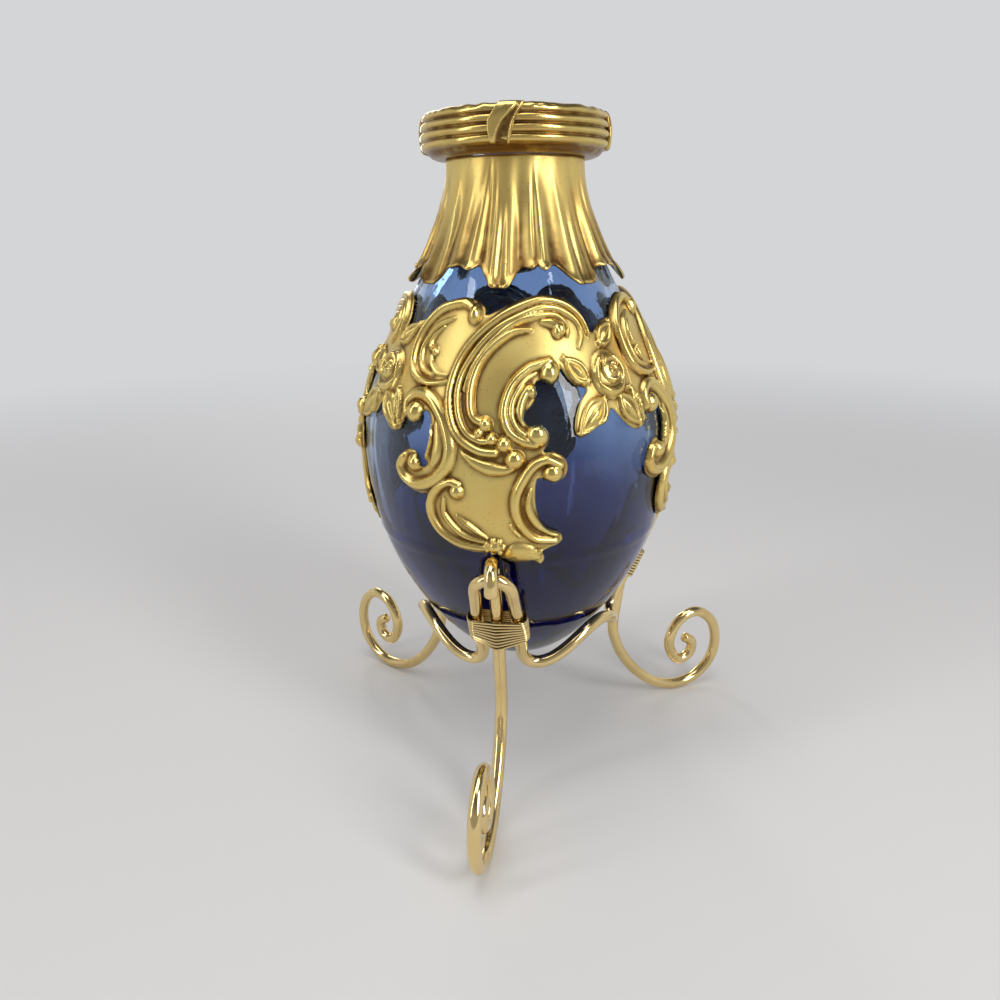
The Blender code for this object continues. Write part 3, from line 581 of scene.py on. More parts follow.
bm = bmesh.new()
raised, hollow = wear_and_shade_layers(bm)
for index in range(RIBBON_COUNT):
    azimuth = FRONT + math.tau * index / RIBBON_COUNT
    made = bmesh.ops.create_grid(bm, x_segments=RIBBON_COLUMNS, y_segments=RIBBON_ROWS, size=0.5)
    for vert in made["verts"]:
        across, share = vert.co.x + 0.5, vert.co.y + 0.5
        left = np.interp(share, *zip(*RIBBON_LEFT))
        right = np.interp(share, *zip(*RIBBON_RIGHT))
        bend = np.interp(share, (0, 1), RIBBON_BEND)
        fold = np.interp(across, (0.0, 0.03, bend * 0.5, bend, bend + 0.1, 0.84, 0.89, 0.97, 1.0),
                         (-1.85, 0.75, 1.0, 0.85, 0.1, 0.05, 0.7, 0.75, -1.85))
        height = reeds_low + (RIM_TOP_Z + 0.0001 - reeds_low) * share
        tucked = max(0.0, 1 - share / 0.1, 1 - (1 - share) / 0.08) ** 2
        radius = barrel_radius((height - RIM_LOW_Z) / RIM_HEIGHT)
        radius += RIBBON_LIFT * fold - RIBBON_TUCK * tucked
        vert[raised] = max(fold, 0.0)
        # The ribbon's folded-back and tucked parts are darkened as painted shade
        vert[hollow] = 1 - min(max(fold, 0.0) / 0.7, 1.0)
        along = (left + (right - left) * across) * MM
        vert.co = round_axis(radius, height, azimuth + along / RIM_RADIUS)
ribbons = add_piece("rim_ribbons", bm, GILT_BAND, "vase", smooth_angle=math.radians(60))
thicken(ribbons, RIBBON_SHEET)

# %% [markdown]
# ## Collar
# The collar is one thin sleeve, pleated like cloth. Its sixteen broad folds are faint at the top and
# deep at the hem, where every second one ends in a long hollow tongue, and small uneven folds end in
# scallops between the tongues. A grid is bent round the neck, each point is pushed out by how high
# the folds are there, and the hem is turned up a little. Stamped metal repeats with small
# differences, so the folds come from cosines and slow wobbles.

# %% Bend the collar
COLLAR_TIPS = 8
COLLAR_COLUMNS, COLLAR_ROWS = COLLAR_TIPS * 60, 40
COLLAR_SHEET = 0.00045
COLLAR_CLEARANCE, COLLAR_SPREAD = 0.0007, 0.0003
HEM_Z = 0.1262
HEM_LONG_DROP, HEM_SHORT_DROP = 0.0054, 0.0014
SCALLOP = 0.0008
PLEAT_DEPTH = 0.0011
FINE_FOLDS = 39
FINE_DEPTH = 0.0007
COLLAR_DENT = 0.00003
HEM_LIP = 0.00055


def eased_share(value, start, end):
    share = min(max((value - start) / (end - start), 0.0), 1.0)
    return share * share * (3 - 2 * share)


def fold_height(turn):
    """1 on the crest of a fold, 0 in a crease, with broad crests and narrow creases."""
    turn = turn + 0.0022 * wobble(turn, 5, 0.6) + 0.0016 * wobble(turn, 11, 2.0)
    crease = 0.5 - 0.5 * math.cos(4 * math.pi * COLLAR_TIPS * turn)
    return 1 - crease ** 1.9


def fine_fold(turn, fall):
    """The small uneven folds between the tongues, which die away towards the neck."""
    bent = FINE_FOLDS * turn + 0.35 * wobble(turn, 6, 0.4) + 0.22 * wobble(turn, 13, 1.7) + 0.25 * fall
    height = 1 - (0.5 - 0.5 * math.cos(math.tau * bent)) ** 1.6
    start = 0.18 + 0.13 * wobble(turn, 9, 0.0) + 0.1 * wobble(turn, 23, 2.2)
    return height * eased_share(fall, start, start + 0.45) * (0.75 + 0.25 * wobble(turn, 17, 0.9))


def from_tongue(turn):
    """0 in the middle of a long tongue, 0.5 halfway to the next."""
    place = COLLAR_TIPS * turn + 0.06 * wobble(turn, 3, 0.5) - 0.06 * math.sin(0.5)
    return abs(place - round(place))


def long_tongue(turn):
    """1 over the rounded end of a long tongue, 0 between two of them."""
    width = 0.29 + 0.035 * wobble(turn, 3, 0.2)
    return 1 - eased_share(from_tongue(turn), 0.06, width)


def hem_drop(turn):
    tongue = long_tongue(turn)
    drop = HEM_SHORT_DROP + (HEM_LONG_DROP - HEM_SHORT_DROP) * tongue
    return drop * (1 + 0.07 * wobble(turn, 3, 1.0)) + SCALLOP * (1 - tongue) * fine_fold(turn, 1.0)


bm = bmesh.new()
bmesh.ops.create_grid(bm, x_segments=COLLAR_COLUMNS, y_segments=COLLAR_ROWS, size=0.5)
raised, hollow = wear_and_shade_layers(bm)
collar_top = RIM_LOW_Z - 0.00005
for vert in bm.verts:
    turn, fall = vert.co.x + 0.5, 0.5 - vert.co.y
    fold, fine = fold_height(turn), fine_fold(turn, fall)
    height = collar_top + (HEM_Z - hem_drop(turn) - collar_top) * fall
    scoop = math.exp(-(from_tongue(turn) / 0.085) ** 2) * eased_share(fall, 0.25, 0.75)
    depth = PLEAT_DEPTH * (0.1 + 0.9 * fall ** 1.3) * (1 + 0.18 * wobble(turn, 7, 0.3))
    depth *= 1 - 0.75 * scoop
    dent = wobble(turn, 19, 7 * fall) + wobble(turn, 11, 2 - 9 * fall) + wobble(turn, 5, 13 * fall)
    crimp = FINE_DEPTH * (fine - 0.5) * (1 - 0.7 * long_tongue(turn) * fall)
    flare = HEM_LIP * max(0.0, (fall - 0.94) / 0.06) ** 1.5
    under = glass_radius(height) + COLLAR_CLEARANCE + COLLAR_SPREAD * fall + COLLAR_SHEET
    radius = under + depth * fold + crimp + COLLAR_DENT * dent + flare
    vert[raised] = (0.5 * fold ** 3 + 0.5 * fine) * (0.2 + 0.8 * fall)
    # Creases, the tongues' scoops and the lower collar are darkened, more towards the hem, partly as
    # dirt and partly as painted shade
    crease = 0.95 * (1 - fine) ** 1.6 * min(max(3 * fall - 0.8, 0.0), 1.0)
    vert[hollow] = max((1 - fold) ** 1.5, crease, 0.35 * scoop) * fall ** 1.2
    vert.co = round_axis(radius, height, FRONT + math.tau * turn)
bmesh.ops.remove_doubles(bm, verts=bm.verts, dist=WELD)
collar = add_piece("pleated_collar", bm, GILT_SATIN, "vase", ["neck_collar"])
thicken(collar, COLLAR_SHEET)

# %% [markdown]
# ## Rocaille mounts
# The gold round the belly is one thin stamped sheet, repeated four times: nested C-scrolls with
# balls at their ends, a shell-like field, and a rose with leaves. A stamp pushes the sheet out from
# behind, so every form is a soft swelling, with a sharp line where two swellings meet. That is a
# height map: each scroll is drawn with a round brush along a curve, the greatest height is kept
# wherever strokes overlap, and a fine grid is bent round the glass and lifted by that height. The
# drawing is flat: millimetres round the belly, and height above the floor.

# %% Flat pattern
PATTERN_RADIUS = 37.3
PATTERN_BELLY = 84.0
PATTERN_SCALE = BELLY_RADIUS / PATTERN_RADIUS
PANEL_COUNT = 4
PANEL_TURN = math.radians(8.3)
PATTERN_WIDTH = math.tau * PATTERN_RADIUS / PANEL_COUNT
PATTERN_LOW, PATTERN_HIGH = 62.4, 119.8
COLUMNS = 256
STEP = PATTERN_WIDTH / COLUMNS
ROWS = round((PATTERN_HIGH - PATTERN_LOW) / STEP)
relief = np.zeros((ROWS + 1, COLUMNS))
column_x = -PATTERN_WIDTH / 2 + STEP * np.arange(COLUMNS)
row_z = PATTERN_LOW + STEP * np.arange(ROWS + 1)
print("pattern grid", relief.shape, "with a step of", round(STEP, 3), "mm")


def curve_through(points, steps, closed=False):
    """A smooth curve through points, with so many steps from each to the next."""
    keys = np.array(points, dtype=float)
    keys = np.pad(keys, ((1, 1 + closed), (0, 0)), mode="wrap" if closed else "edge")
    line = []
    for before, here, there, after in zip(keys, keys[1:], keys[2:], keys[3:]):
        for t in np.arange(steps) / steps:
            line.append(0.5 * (2 * here + (there - before) * t
                               + (2 * before - 5 * here + 4 * there - after) * t ** 2
                               + (3 * here - before - 3 * there + after) * t ** 3))
    return np.array(line if closed else line + [keys[-1]])


def evenly_spaced(line, spacing):
    """The same open line with points about so far apart, and each point's share of the way."""
    travelled = np.concatenate([[0.0], np.cumsum(np.linalg.norm(np.diff(line, axis=0), axis=1))])
    shares = np.linspace(0, 1, max(int(travelled[-1] / spacing), 1) + 1)
    wanted = shares * travelled[-1]
    return np.stack([np.interp(wanted, travelled, axis) for axis in line.T], axis=1), shares


def dab(x, z, radius, height, roundness=0.75):
    """One touch of the brush. The pattern repeats sideways."""
    first = int((z - radius - PATTERN_LOW) / STEP)
    rows = np.arange(max(first, 0), min(int((z + radius - PATTERN_LOW) / STEP) + 2, ROWS + 1))
    left = int((x - radius - column_x[0]) // STEP)
    columns = np.arange(left, left + int(2 * radius / STEP) + 3)
    across = column_x[0] + STEP * columns - x
    share = (across[None, :] ** 2 + (row_z[rows] - z)[:, None] ** 2) / radius ** 2
    touch = height * np.clip(1 - share, 0.0, 1.0) ** roundness
    place = np.ix_(rows, columns % COLUMNS)
    relief[place] = np.maximum(relief[place], touch)


def stroke(points, widths, height):
    """A ridge along a curve. The half-widths are spread evenly along it."""
    line, shares = evenly_spaced(curve_through(points, 8), 0.14)
    half_widths = np.interp(shares, np.linspace(0, 1, len(widths)), widths)
    for (x, z), half_width in zip(line, half_widths):
        dab(x, z, half_width, height * (half_width / max(widths)) ** 0.6)


# %% Scrolls of the panel
BALL_ROUNDNESS = 0.8
WIDER, HIGHER = 1.14, 1.06
SCROLLS = [
    # half-widths, height, points round and up in tenths of a millimetre
    ((0.5, 0.9, 0.95, 0.95, 0.9), 1.15, [
        (198, 1105), (188, 1135), (150, 1162), (90, 1173), (30, 1166), (-40, 1144), (-100, 1108),
        (-137, 1065), (-152, 1010), (-146, 960), (-123, 916), (-80, 890), (-45, 886)]),
    ((0.4, 0.85, 0.85, 0.8, 0.7), 1.05, [
        (160, 1080), (177, 1108), (165, 1135), (120, 1155), (70, 1157), (10, 1143), (-50, 1120),
        (-95, 1085), (-125, 1040), (-133, 1000), (-125, 955), (-105, 923), (-75, 908), (-55, 910)]),
    ((0.4, 0.7, 0.7, 0.5), 0.95, [
        (135, 1105), (140, 1123), (110, 1144), (50, 1142), (-10, 1128), (-70, 1090), (-103, 1050),
        (-117, 1005)]),
    ((0.35, 0.8, 1.0, 1.0, 0.8), 1.2, [
        (42, 1118), (-10, 1113), (-55, 1090), (-85, 1060), (-100, 1025), (-102, 985), (-93, 955),
        (-70, 942)]),
    ((0.5, 1.0, 1.35), 1.2, [(70, 1132), (96, 1129), (120, 1118)]),
    ((0.8, 1.0, 1.0, 0.95), 1.25, [
        (80, 1057), (55, 1052), (25, 1043), (-10, 1015), (-27, 970), (-17, 930), (10, 910), (35, 903)]),
    ((0.3, 0.75, 0.75, 0.5), 1.0, [
        (46, 1037), (18, 1022), (-6, 990), (-11, 960), (-1, 936), (15, 922)]),
    ((0.5, 0.95, 0.95, 0.7), 0.95, [(14, 943), (6, 962), (10, 984), (24, 1006), (36, 1008)]),
    ((0.9, 0.95, 0.95, 0.8, 0.35), 1.2, [
        (-130, 1159), (-160, 1169), (-220, 1160), (-260, 1135), (-280, 1100), (-280, 1060),
        (-260, 1028), (-220, 1013), (-180, 1015), (-162, 1020)]),
    ((0.3, 0.65, 0.65, 0.4), 0.85, [
        (-180, 1139), (-225, 1123), (-250, 1093), (-256, 1070), (-240, 1040), (-205, 1029)]),
    ((0.25, 0.55, 0.6), 0.9, [(-206, 1122), (-229, 1102), (-233, 1083), (-217, 1075)]),
    ((0.5, 0.5, 0.25), 0.75, [(-222, 1063), (-216, 1049), (-196, 1034), (-169, 1030)]),
    ((0.9, 1.3, 1.35, 1.3, 1.2, 1.0), 1.35, [
        (-258, 952), (-260, 973), (-243, 989), (-215, 991), (-186, 976), (-160, 948), (-144, 914),
        (-140, 883), (-150, 850), (-180, 820), (-220, 806), (-253, 816), (-267, 840), (-255, 861)]),
    ((0.5, 1.2, 1.2, 0.6), 0.55, [(-175, 940), (-167, 900), (-173, 870), (-182, 854)]),
    ((0.3, 0.4, 0.4, 0.3), 0.8, [(-193, 940), (-185, 910), (-192, 885), (-196, 866)]),
    ((0.3, 1.0, 1.3, 0.9, 0.5), 1.05, [(-113, 883), (-82, 864), (-46, 853), (-18, 853), (2, 864)]),
    ((0.9, 1.0, 1.05, 1.0, 0.8, 0.6), 1.2, [
        (86, 860), (60, 871), (30, 858), (8, 825), (-4, 790), (-2, 755), (13, 723), (40, 699),
        (82, 693)]),
    ((0.3, 0.75, 0.75, 0.5), 0.95, [(26, 810), (21, 780), (27, 755), (42, 732), (66, 715), (84, 707)]),
    ((0.3, 0.3), 0.5, [(-16, 732), (-8, 718), (5, 705)]),
    ((0.8, 0.95, 0.95, 0.9, 0.8, 0.6), 1.1, [
        (-124, 816), (-145, 820), (-172, 803), (-191, 770), (-189, 735), (-169, 704), (-130, 683),
        (-80, 676), (-60, 678)]),
    ((0.3, 0.65, 0.65, 0.3), 0.95, [(-158, 784), (-159, 752), (-140, 723), (-115, 703), (-75, 690)]),
    ((0.2, 0.6, 0.5, 0.2), 0.95, [(-130, 748), (-106, 730), (-80, 711), (-64, 699)]),
    ((0.8, 2.0, 1.8, 0.8), 0.9, [(-22, 660), (-2, 667), (22, 665), (42, 655)]),
    ((0.7, 0.6, 0.3), 0.6, [(36, 664), (54, 668), (66, 672)]),
]
BALLS = [
    # round, up, radius, height
    (7.7, 103.7, 2.45, 1.75), (4.2, 92.1, 2.45, 1.75), (-6.5, 94.1, 1.6, 1.5), (10.9, 111.3, 1.5, 1.5),
    (-11.9, 114.8, 2.1, 1.7), (-23.6, 95.5, 2.25, 1.7), (-22.6, 85.2, 1.9, 1.55), (3.2, 100.4, 1.3, 1.3),
    (-7.8, 92.4, 1.15, 1.25), (-5.2, 91.3, 1.4, 1.4), (-2.6, 90.3, 1.75, 1.55), (-0.5, 87.3, 2.1, 1.65),
    (7.2, 84.3, 2.1, 1.65), (-12.7, 80.1, 1.7, 1.45), (-21.4, 107.3, 0.95, 1.05), (-5.0, 67.9, 1.6, 1.3),
]
FLOWER_X, FLOWER_Z, FLOWER_PETALS = -5.0, 67.9, 7
for widths, height, points in SCROLLS:
    stroke(np.array(points) / 10, [WIDER * width for width in widths], HIGHER * height)
for x, z, radius, height in BALLS:
    dab(x, z, radius, height, roundness=BALL_ROUNDNESS)
for number in range(FLOWER_PETALS):
    turn = math.tau * number / FLOWER_PETALS
    dab(FLOWER_X + 1.75 * math.cos(turn), FLOWER_Z + 1.55 * math.sin(turn), 0.75, 0.95)
print(len(SCROLLS), "scrolls and", len(BALLS), "balls")

# %% Rose and leaves
ROSE = np.array((22.7, 102.5))
LEAVES = [
    # stalk end, tip, half-width
    ((16.9, 101.4), (11.3, 106.4), 2.0),
    ((22.2, 108.4), (28.8, 112.4), 1.8),
    ((20.2, 98.0), (12.9, 91.4), 2.6),
    ((24.2, 98.4), (29.6, 91.6), 2.2),
    ((28.2, 99.6), (30.8, 92.6), 1.1),
]


def leaf(stalk, tip, half_width):
    """A leaf with a raised edge, a sunken blade and a raised midrib."""
    stalk, tip = np.array(stalk), np.array(tip)
    along = tip - stalk
    side = np.array((-along[1], along[0])) / np.linalg.norm(along)
    shares = np.linspace(0, 1, 7)
    swell = np.sin(math.pi * shares ** 0.8) * half_width
    middle = stalk + along * shares[:, None]
    stroke(middle, tuple(np.maximum(swell, 0.3)), 0.55)
    for sign in (-1, 1):
        stroke(middle + side * (sign * (swell - 0.35))[:, None], (0.35, 0.5, 0.45, 0.35), 0.9)
    stroke(middle[1:-1], (0.4, half_width * 0.42, half_width * 0.3, 0.25), 1.05)


def petal(start, end, radius, half_width, height, centre=(0.0, 0.0)):
    """A crescent round the rose's eye, from one direction to another, in degrees."""
    turns = np.radians(np.linspace(start, end, 7))
    ring = ROSE + centre + radius * np.stack([np.cos(turns), np.sin(turns) * 0.94], axis=1)
    stroke(ring, (0.3, half_width, half_width, 0.3), height)


for stalk, tip, half_width in LEAVES:
    leaf(stalk, tip, half_width)
dab(*ROSE, 4.9, 0.95, roundness=0.35)
petal(195, 345, 3.7, 1.0, 1.55)
petal(325, 455, 3.8, 0.85, 1.45)
petal(85, 215, 3.7, 0.9, 1.45)
dab(*(ROSE + (0.2, 0.7)), 2.9, 1.6, roundness=0.3)
petal(20, 200, 2.15, 0.65, 1.95, centre=(0.2, 0.8))
petal(215, 385, 2.05, 0.6, 1.85, centre=(0.3, 0.6))
petal(120, 330, 0.95, 0.42, 2.1, centre=(0.45, 0.75))
petal(-30, 130, 0.95, 0.42, 2.05, centre=(0.55, 0.85))
print("highest relief", round(relief.max(), 2), "mm")

# %% [markdown]
# The outline is a closed curve, again in tenths of a millimetre, and the sheet keeps only what lies
# inside it. Where the rose's sheet meets the scrolls the two outlines overlap, so the gold runs
# through.

# %% Outlines of the sheet
EDGE_SPACING = 0.12
PANEL_EDGE = [
    (204, 1097), (210, 1118), (198, 1146), (168, 1170), (125, 1183), (75, 1186), (25, 1180),
    (-25, 1167), (-64, 1154), (-87, 1149), (-93, 1163), (-118, 1174), (-150, 1181), (-190, 1180),
    (-230, 1170), (-265, 1150), (-286, 1126), (-296, 1095), (-298, 1060), (-292, 1028), (-282, 1003),
    (-279, 980), (-278, 955), (-263, 939), (-238, 932), (-219, 940), (-211, 959), (-196, 952),
    (-190, 925), (-193, 895), (-201, 867), (-195, 853), (-208, 845), (-213, 860), (-222, 873),
    (-238, 879), (-258, 872), (-273, 855), (-279, 832), (-272, 808), (-250, 792), (-220, 785),
    (-199, 786), (-205, 765), (-204, 735), (-190, 706), (-166, 682), (-142, 669), (-110, 662),
    (-80, 660), (-55, 660), (-35, 651), (-15, 642), (10, 640), (36, 642), (52, 633), (61, 648),
    (56, 666), (70, 673), (88, 680), (99, 693), (90, 710), (68, 720), (49, 740), (39, 770), (37, 805),
    (41, 832), (56, 829), (74, 822), (94, 829), (104, 850), (98, 872), (78, 885), (55, 888), (66, 906),
    (65, 925), (50, 940), (28, 939), (15, 948), (18, 964), (34, 980), (44, 998), (42, 1016), (53, 1024),
    (78, 1014), (97, 1024), (102, 1040), (101, 1060), (110, 1079), (135, 1083), (170, 1080), (190, 1085),
]
SPRAY_EDGE = [
    (92, 1066), (106, 1043), (118, 1026), (134, 1011), (160, 1002), (140, 978), (127, 952), (122, 926),
    (129, 911), (148, 913), (175, 927), (200, 935), (217, 959), (232, 946), (249, 928), (273, 912),
    (296, 910), (314, 922), (320, 955), (322, 1000), (324, 1060), (320, 1120), (296, 1134), (266, 1130),
    (240, 1122), (219, 1109), (202, 1114), (170, 1110), (130, 1106), (96, 1094),
]


def lies_inside(points, edge):
    """True for each point that lies inside a closed line."""
    result = np.zeros(len(points), dtype=bool)
    x, z = points.T
    for (x0, z0), (x1, z1) in zip(edge, np.roll(edge, -1, axis=0)):
        if z0 != z1:
            crossed = ((z0 > z) != (z1 > z)) & (x < x0 + (z - z0) / (z1 - z0) * (x1 - x0))
            result ^= crossed
    return result


outlines = []
for edge in (PANEL_EDGE, SPRAY_EDGE):
    line = curve_through(np.array(edge) / 10, 6, closed=True)
    samples = evenly_spaced(np.vstack([line, line[:1]]), EDGE_SPACING)[0]
    for shift in (-PATTERN_WIDTH, 0.0, PATTERN_WIDTH):
        outlines.append(samples + (shift, 0.0))
border = []
for number, line in enumerate(outlines):
    hidden = np.zeros(len(line), dtype=bool)
    for other, another in enumerate(outlines):
        if other != number:
            hidden |= lies_inside(line, another)
    border.append(line[~hidden])
border = np.vstack(border)
nearest = KDTree(len(border))
for index, (x, z) in enumerate(border):
    nearest.insert((x, z, 0.0), index)
nearest.balance()
print(len(border), "points on the outline")

# %% [markdown]
# The grid is now cut, lifted and bent. Near the outline the sheet curves down to the glass, as
# stamped metal does where it was trimmed. Each vertex keeps two numbers for the finish: how much it
# stands out, since high places are polished, and how deep it lies, since the hollows are darkened
# with dirt and painted shade.

# %% Bend the sheet round the glass
SHEET_LIFT = 0.42
SHEET_THICKNESS = 0.22
EDGE_ROUNDING = 0.3
EDGE_REACH = 0.7
FADE_REACH = 0.55
BLUR_PASSES = 14
RAISED_FROM, HOLLOW_GAIN = 1.3, 3.4

blurred = relief.copy()
for _ in range(BLUR_PASSES):
    sideways = (np.roll(blurred, 1, axis=1) + np.roll(blurred, -1, axis=1) + 2 * blurred) / 4
    padded = np.pad(sideways, ((1, 1), (0, 0)), mode="edge")
    blurred = (padded[:-2] + padded[2:] + 2 * sideways) / 4


def on_glass(x, z, out):
    radius, height = beside_glass(BELLY_Z + (z - PATTERN_BELLY) * PATTERN_SCALE, out * MM)
    return round_axis(radius, height, FRONT + PANEL_TURN + x / PATTERN_RADIUS)


bm = bmesh.new()
bmesh.ops.create_grid(bm, x_segments=COLUMNS, y_segments=ROWS, size=0.5)
raised, hollow = wear_and_shade_layers(bm)
depth = bm.verts.layers.float.new("depth")
flat = np.array([vert.co for vert in bm.verts])[:, :2] + 0.5
flat = flat * (PATTERN_WIDTH, STEP * ROWS) + (-PATTERN_WIDTH / 2, PATTERN_LOW)
kept = np.zeros(len(flat), dtype=bool)
for line in outlines:
    kept |= lies_inside(flat, line)
outside = []
for vert, (x, z), within in zip(bm.verts, flat, kept):
    distance = nearest.find((x, z, 0.0))[2]
    if not within and distance > STEP * 0.5:
        outside.append(vert)
    column = round((x - column_x[0]) / STEP) % COLUMNS
    row = round((z - PATTERN_LOW) / STEP)
    vert.co = (x, z, relief[row, column])
    vert[raised] = min(relief[row, column] / RAISED_FROM, 1.0)
    # Hollows between the swellings darken, partly as dirt and partly as painted shade
    vert[hollow] = min(max((blurred[row, column] - relief[row, column]) * HOLLOW_GAIN, 0.0), 1.0)
    vert[depth] = distance if within else 0.0
bmesh.ops.delete(bm, geom=outside, context="VERTS")
for vert in bm.verts:
    at_seam = abs(abs(vert.co.x) - PATTERN_WIDTH / 2) < STEP / 4
    if vert.is_boundary and (not at_seam or vert[depth] < STEP * 0.5):
        near = nearest.find((vert.co.x, vert.co.y, 0.0))[0]
        vert.co.x, vert.co.y = near.x, near.y
        vert[depth] = 0.0
for vert in bm.verts:
    x, z, height = vert.co
    edge = 1 - min(vert[depth] / EDGE_REACH, 1.0)
    relieved = height * eased_share(vert[depth], 0.0, FADE_REACH)
    vert.co = on_glass(x, z, SHEET_LIFT + EDGE_ROUNDING * math.sqrt(1 - edge ** 2) + relieved)
bmesh.ops.remove_doubles(bm, verts=bm.verts, dist=WELD)

for panel in range(PANEL_COUNT):
    turned = bm.copy()
    quarter = Matrix.Rotation(math.tau * panel / PANEL_COUNT, 3, "Z")
    bmesh.ops.rotate(turned, verts=turned.verts, cent=(0, AXIS_Y, 0), matrix=quarter)
    names = [f"rocaille_panel_{panel + 1}", f"rose_spray_{panel + 1}"]
    piece = add_piece(f"stamped_mount_{panel + 1}", turned, GILT_RELIEF, "vase", names,
                      math.radians(80))
    thicken(piece, SHEET_THICKNESS * MM)
bm.free()

# %% [markdown]
# ## Wire stand
# The stand is bent from four lengths of 3 mm brass wire. One closed ring forms the cradle: it runs
# under the bowl and rises into a narrow arch at each leg. Each leg hooks over its arch, runs down
# between the arch's uprights through a wound binding, and curls up on the floor into a scroll. Wire
# is a circle swept along a line, so each piece is a curve with a bevel, whose line is worked out in
# an upright plane and then turned to its leg.

# %% Lines of the stand
WIRE_RADIUS = 0.0015
GAP = 0.0003
ARCH_TOP_Z, ARCH_HALF_WIDTH = 0.0629, 0.00465
BINDING_Z = 0.048
BINDING_SPARE = 0.0007
BINDING_CORE = 0.0003
SEAT_Z, DIP_Z, DIP_BEND = 0.0415, 0.0332, 0.003
ARCH_TAPER = 0.88
LEG_FORWARD = 0.0013
LEG_TILT = 0.3
HOOK_TAIL = 0.0028
HOOK_TWIST = 0.0005
FOOT_RADIUS = 0.0515
BINDING_HALF = 0.00381
FOOT_SCROLL = [
    # outward and up from where the foot stands, in millimetres
    (-22.6, 24.5), (-21.4, 18), (-18.4, 12.2), (-13.8, 6.6), (-7.6, 1.9), (0, 0), (6.4, 1.6),
    (10.9, 6), (12.4, 12), (10.6, 18.6), (5.6, 22.6), (0.4, 21.6), (-3, 17.4), (-3.4, 12.4),
    (-0.4, 8.2), (3.4, 9.4), (4, 13), (1, 15.2),
]
LEG_COUNT = 3
RING_STEP, ARCH_EASING, DIP_EASING = 0.0006, 6, 24
LEG_STEPS = 12
leg_azimuths = [FRONT + math.tau * leg / LEG_COUNT for leg in range(LEG_COUNT)]
arch_top = np.array(beside_glass(ARCH_TOP_Z, 3 * WIRE_RADIUS + 2 * GAP))
arch_foot = np.array(beside_glass(BINDING_Z, WIRE_RADIUS + 2 * BINDING_CORE + 2 * GAP + BINDING_SPARE))
arch_rise = np.linalg.norm(arch_top - arch_foot)
lean = (arch_top - arch_foot) / arch_rise


def standing(points, azimuth):
    """Points given outward, sideways and up, turned to a leg's direction."""
    c, s = math.cos(azimuth), math.sin(azimuth)
    return [(out * c - side * s, AXIS_Y + out * s + side * c, up) for out, side, up in points]


def wire(name, line, radius, body=None, replaced=None, closed=False, rounding=0.0):
    """Round wire; its ends are rounded over the given length."""
    curve = bpy.data.curves.new(name, "CURVE")
    curve.dimensions = "3D"
    curve.bevel_depth = radius
    curve.bevel_resolution = 5 if radius > 0.001 else 3
    curve.use_fill_caps = not closed
    spline = curve.splines.new("POLY")
    spline.points.add(len(line) - 1)
    spline.use_cyclic_u = closed
    spline.use_smooth = True
    line = np.array(line)
    for target, place in zip(spline.points, line):
        target.co = (*place, 1.0)
        if rounding:
            end = min(np.linalg.norm(place - line[0]), np.linalg.norm(place - line[-1]))
            left = 1 - min(end / rounding, 1.0)
            target.radius = math.sqrt(max(1 - left ** 2, 0.0)) * 0.75 + 0.25
    curve.materials.append(WIRE)
    piece = new_object(name, curve)
    if body:
        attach(piece, body)
        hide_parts(replaced)
    return piece


# %% Cradle


def in_front(along):
    """How far the leg's wire lies in front of the uprights, so far above the binding's middle."""
    return LEG_FORWARD - LEG_TILT * along


def upright(distance, side):
    out, up = arch_foot + lean * distance
    return out, side, up


def eased(line, passes):
    """An open line with its bends made gentler and its ends kept."""
    line = np.array(line)
    for _ in range(passes):
        line[1:-1] = (line[:-2] + 2 * line[1:-1] + line[2:]) / 4
    return line


bend_radius = ARCH_HALF_WIDTH * ARCH_TAPER
straight = arch_rise - bend_radius
below = (arch_foot[1] - DIP_Z) / lean[1]
arch = [upright(0.0, -ARCH_HALF_WIDTH)]
for bend in np.linspace(0.0, math.pi, 25):
    arch.append(upright(straight + bend_radius * math.sin(bend), -bend_radius * math.cos(bend)))
arch.append(upright(0.0, ARCH_HALF_WIDTH))
arch = eased(evenly_spaced(np.array(arch), RING_STEP)[0], ARCH_EASING)
dip = [upright(0.0, ARCH_HALF_WIDTH)]
for bend in np.linspace(0.0, math.pi / 2, 13):
    side = ARCH_HALF_WIDTH + DIP_BEND * (1 - math.cos(bend))
    dip.append(upright(DIP_BEND * (1 - math.sin(bend)) - below, side))
dip_out = math.hypot(dip[-1][0], dip[-1][1])
dip_turn = math.atan2(dip[-1][1], dip[-1][0])
seat_out, seat_up = beside_glass(SEAT_Z, WIRE_RADIUS + GAP)
for share in np.linspace(0, 1, 13)[1:]:
    risen = (1 - math.cos(math.pi * share)) / 2
    out = dip_out + (seat_out - dip_out) * risen
    turn = dip_turn + (math.pi / LEG_COUNT - dip_turn) * share
    dip.append((out * math.cos(turn), out * math.sin(turn), DIP_Z + (seat_up - DIP_Z) * risen))
mirrored = [(out, -side, up) for out, side, up in reversed(dip)]
ring = []
for azimuth in leg_azimuths:
    next_dip = standing(mirrored, azimuth + math.tau / LEG_COUNT)[1:]
    span = evenly_spaced(np.array(standing(dip, azimuth) + next_dip), RING_STEP)[0]
    ring += standing(arch, azimuth)[:-1] + list(eased(span, DIP_EASING))[:-1]
wire("cradle_ring", ring, WIRE_RADIUS, "stand", "cradle_wire", closed=True)
print("the ring is", round(RING_STEP / MM * len(ring)), "mm of wire")

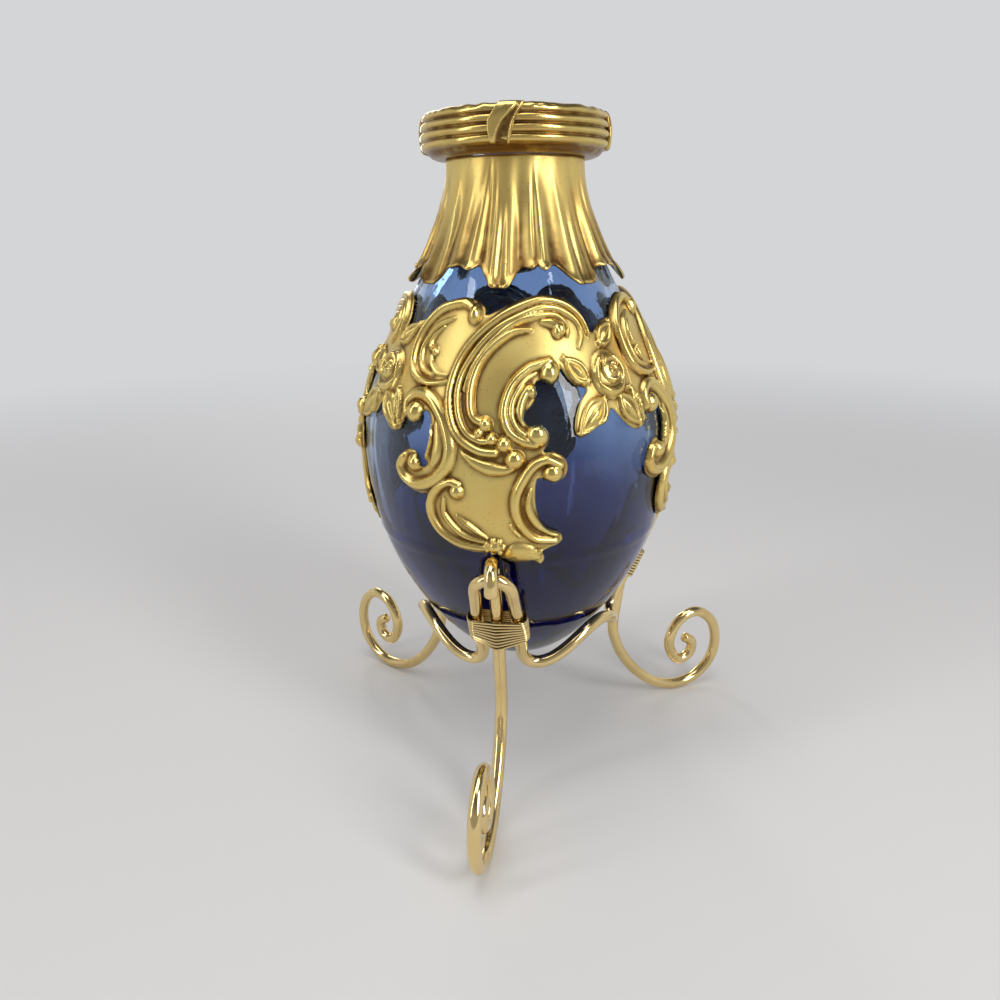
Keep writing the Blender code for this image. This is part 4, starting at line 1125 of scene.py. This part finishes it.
# %% Legs
hook_reach = 2 * WIRE_RADIUS + GAP
hook = [(arch_top[0] + hook_reach, arch_top[1] - HOOK_TAIL)]
for bend in np.radians((0, 45, 90, 135, 180)):
    hook.append((arch_top[0] + hook_reach * math.cos(bend), arch_top[1] + hook_reach * math.sin(bend)))
beyond = BINDING_HALF + WIRE_RADIUS
in_binding = [(arch_foot[0] + in_front(along) * lean[1] + lean[0] * along,
               arch_foot[1] - in_front(along) * lean[0] + lean[1] * along)
              for along in (beyond, BINDING_HALF, 0.0, -BINDING_HALF, -beyond)]
scroll = [(FOOT_RADIUS + out * MM, WIRE_RADIUS + up * MM) for out, up in FOOT_SCROLL]
leg_line = curve_through(hook + in_binding + scroll, LEG_STEPS)
before_arch = np.clip((leg_line[:, 0] - arch_top[0]) / hook_reach, 0.0, 1.0)
sideways = np.where(np.arange(len(leg_line)) < LEG_STEPS * len(hook), HOOK_TWIST * before_arch, 0.0)
for leg, azimuth in enumerate(leg_azimuths):
    line = standing([(out, side, up) for (out, up), side in zip(leg_line, sideways)], azimuth)
    wire(f"leg_{leg + 1}", line, WIRE_RADIUS, "stand", f"leg_wire_{leg + 1}", rounding=0.0008)
print("a leg is", round(np.linalg.norm(np.diff(leg_line, axis=0), axis=1).sum() / MM), "mm of wire")

# %% [markdown]
# ## Bindings
# A binding is thin wire wound tightly round three thick ones. Where it lies on a wire it bends with
# it, and between two wires it is straight. The point of a set of circles that reaches farthest in a
# direction lies on such a tight loop, so the loop is drawn by asking for that point all the way
# round, while it climbs by one wire's width a turn. In front the turns spread a little more.

# %% Bindings
THREAD_RADIUS = 0.0004
BINDING_PITCH = 0.00082
BINDING_TURNS = 9
BINDING_SPREAD, BINDING_RISE = 0.08, 0.0005
BINDING_SLACK = 0.0001
# How the dirt and painted shade between the binding's turns grows and how dark it gets
DIRT_SHADE_GAIN, DIRT_SHADE_FROM, DIRT_SHADE_MOST = 3.0, 1.9, 0.75
POINTS_PER_TURN = 48

around = WIRE_RADIUS + THREAD_RADIUS + BINDING_SLACK
binding_line = []
for step in range(BINDING_TURNS * POINTS_PER_TURN + 1):
    share = step / POINTS_PER_TURN
    bend = math.pi + math.tau * share
    along = BINDING_PITCH * (share - BINDING_TURNS / 2)
    forward = in_front(along)
    cores = [(0.0, -ARCH_HALF_WIDTH), (0.0, ARCH_HALF_WIDTH), (forward, 0.0)]
    out, side = max(cores, key=lambda core: core[0] * math.cos(bend) + core[1] * math.sin(bend))
    out += around * math.cos(bend)
    side += around * math.sin(bend)
    front_share = min(max(out / (forward + around), 0.0), 1.0) ** 2
    along += (BINDING_SPREAD * along + BINDING_RISE) * front_share
    binding_line.append((arch_foot[0] + out * lean[1] + along * lean[0], side,
                         arch_foot[1] - out * lean[0] + along * lean[1]))

for leg, azimuth in enumerate(leg_azimuths):
    name, line = f"binding_{leg + 1}", standing(binding_line, azimuth)
    thread = wire(name, line, THREAD_RADIUS)
    mesh = bpy.data.meshes.new_from_object(thread)
    bpy.data.objects.remove(thread)
    middle = KDTree(len(line))
    for index, place in enumerate(line):
        middle.insert(place, index)
    middle.balance()
    along = Vector(standing([(lean[0], 0.0, lean[1])], azimuth)[0]) - Vector((0.0, AXIS_Y, 0.0))
    hollow = mesh.attributes.new("hollow", "FLOAT", "POINT")
    for vert in mesh.vertices:
        # Dirt and painted shade darken where the wire's surface faces the next turn
        offset = (vert.co - middle.find(vert.co)[0]) / THREAD_RADIUS
        dirt_shade = abs(offset.dot(along)) * DIRT_SHADE_GAIN - DIRT_SHADE_FROM
        hollow.data[vert.index].value = min(max(dirt_shade, 0.0), DIRT_SHADE_MOST)
    add_mesh(name, mesh, WIRE, "stand", [f"leg_binding_{leg + 1}"])
print(BINDING_TURNS, "turns of", round(2 * THREAD_RADIUS / MM, 2), "mm wire")
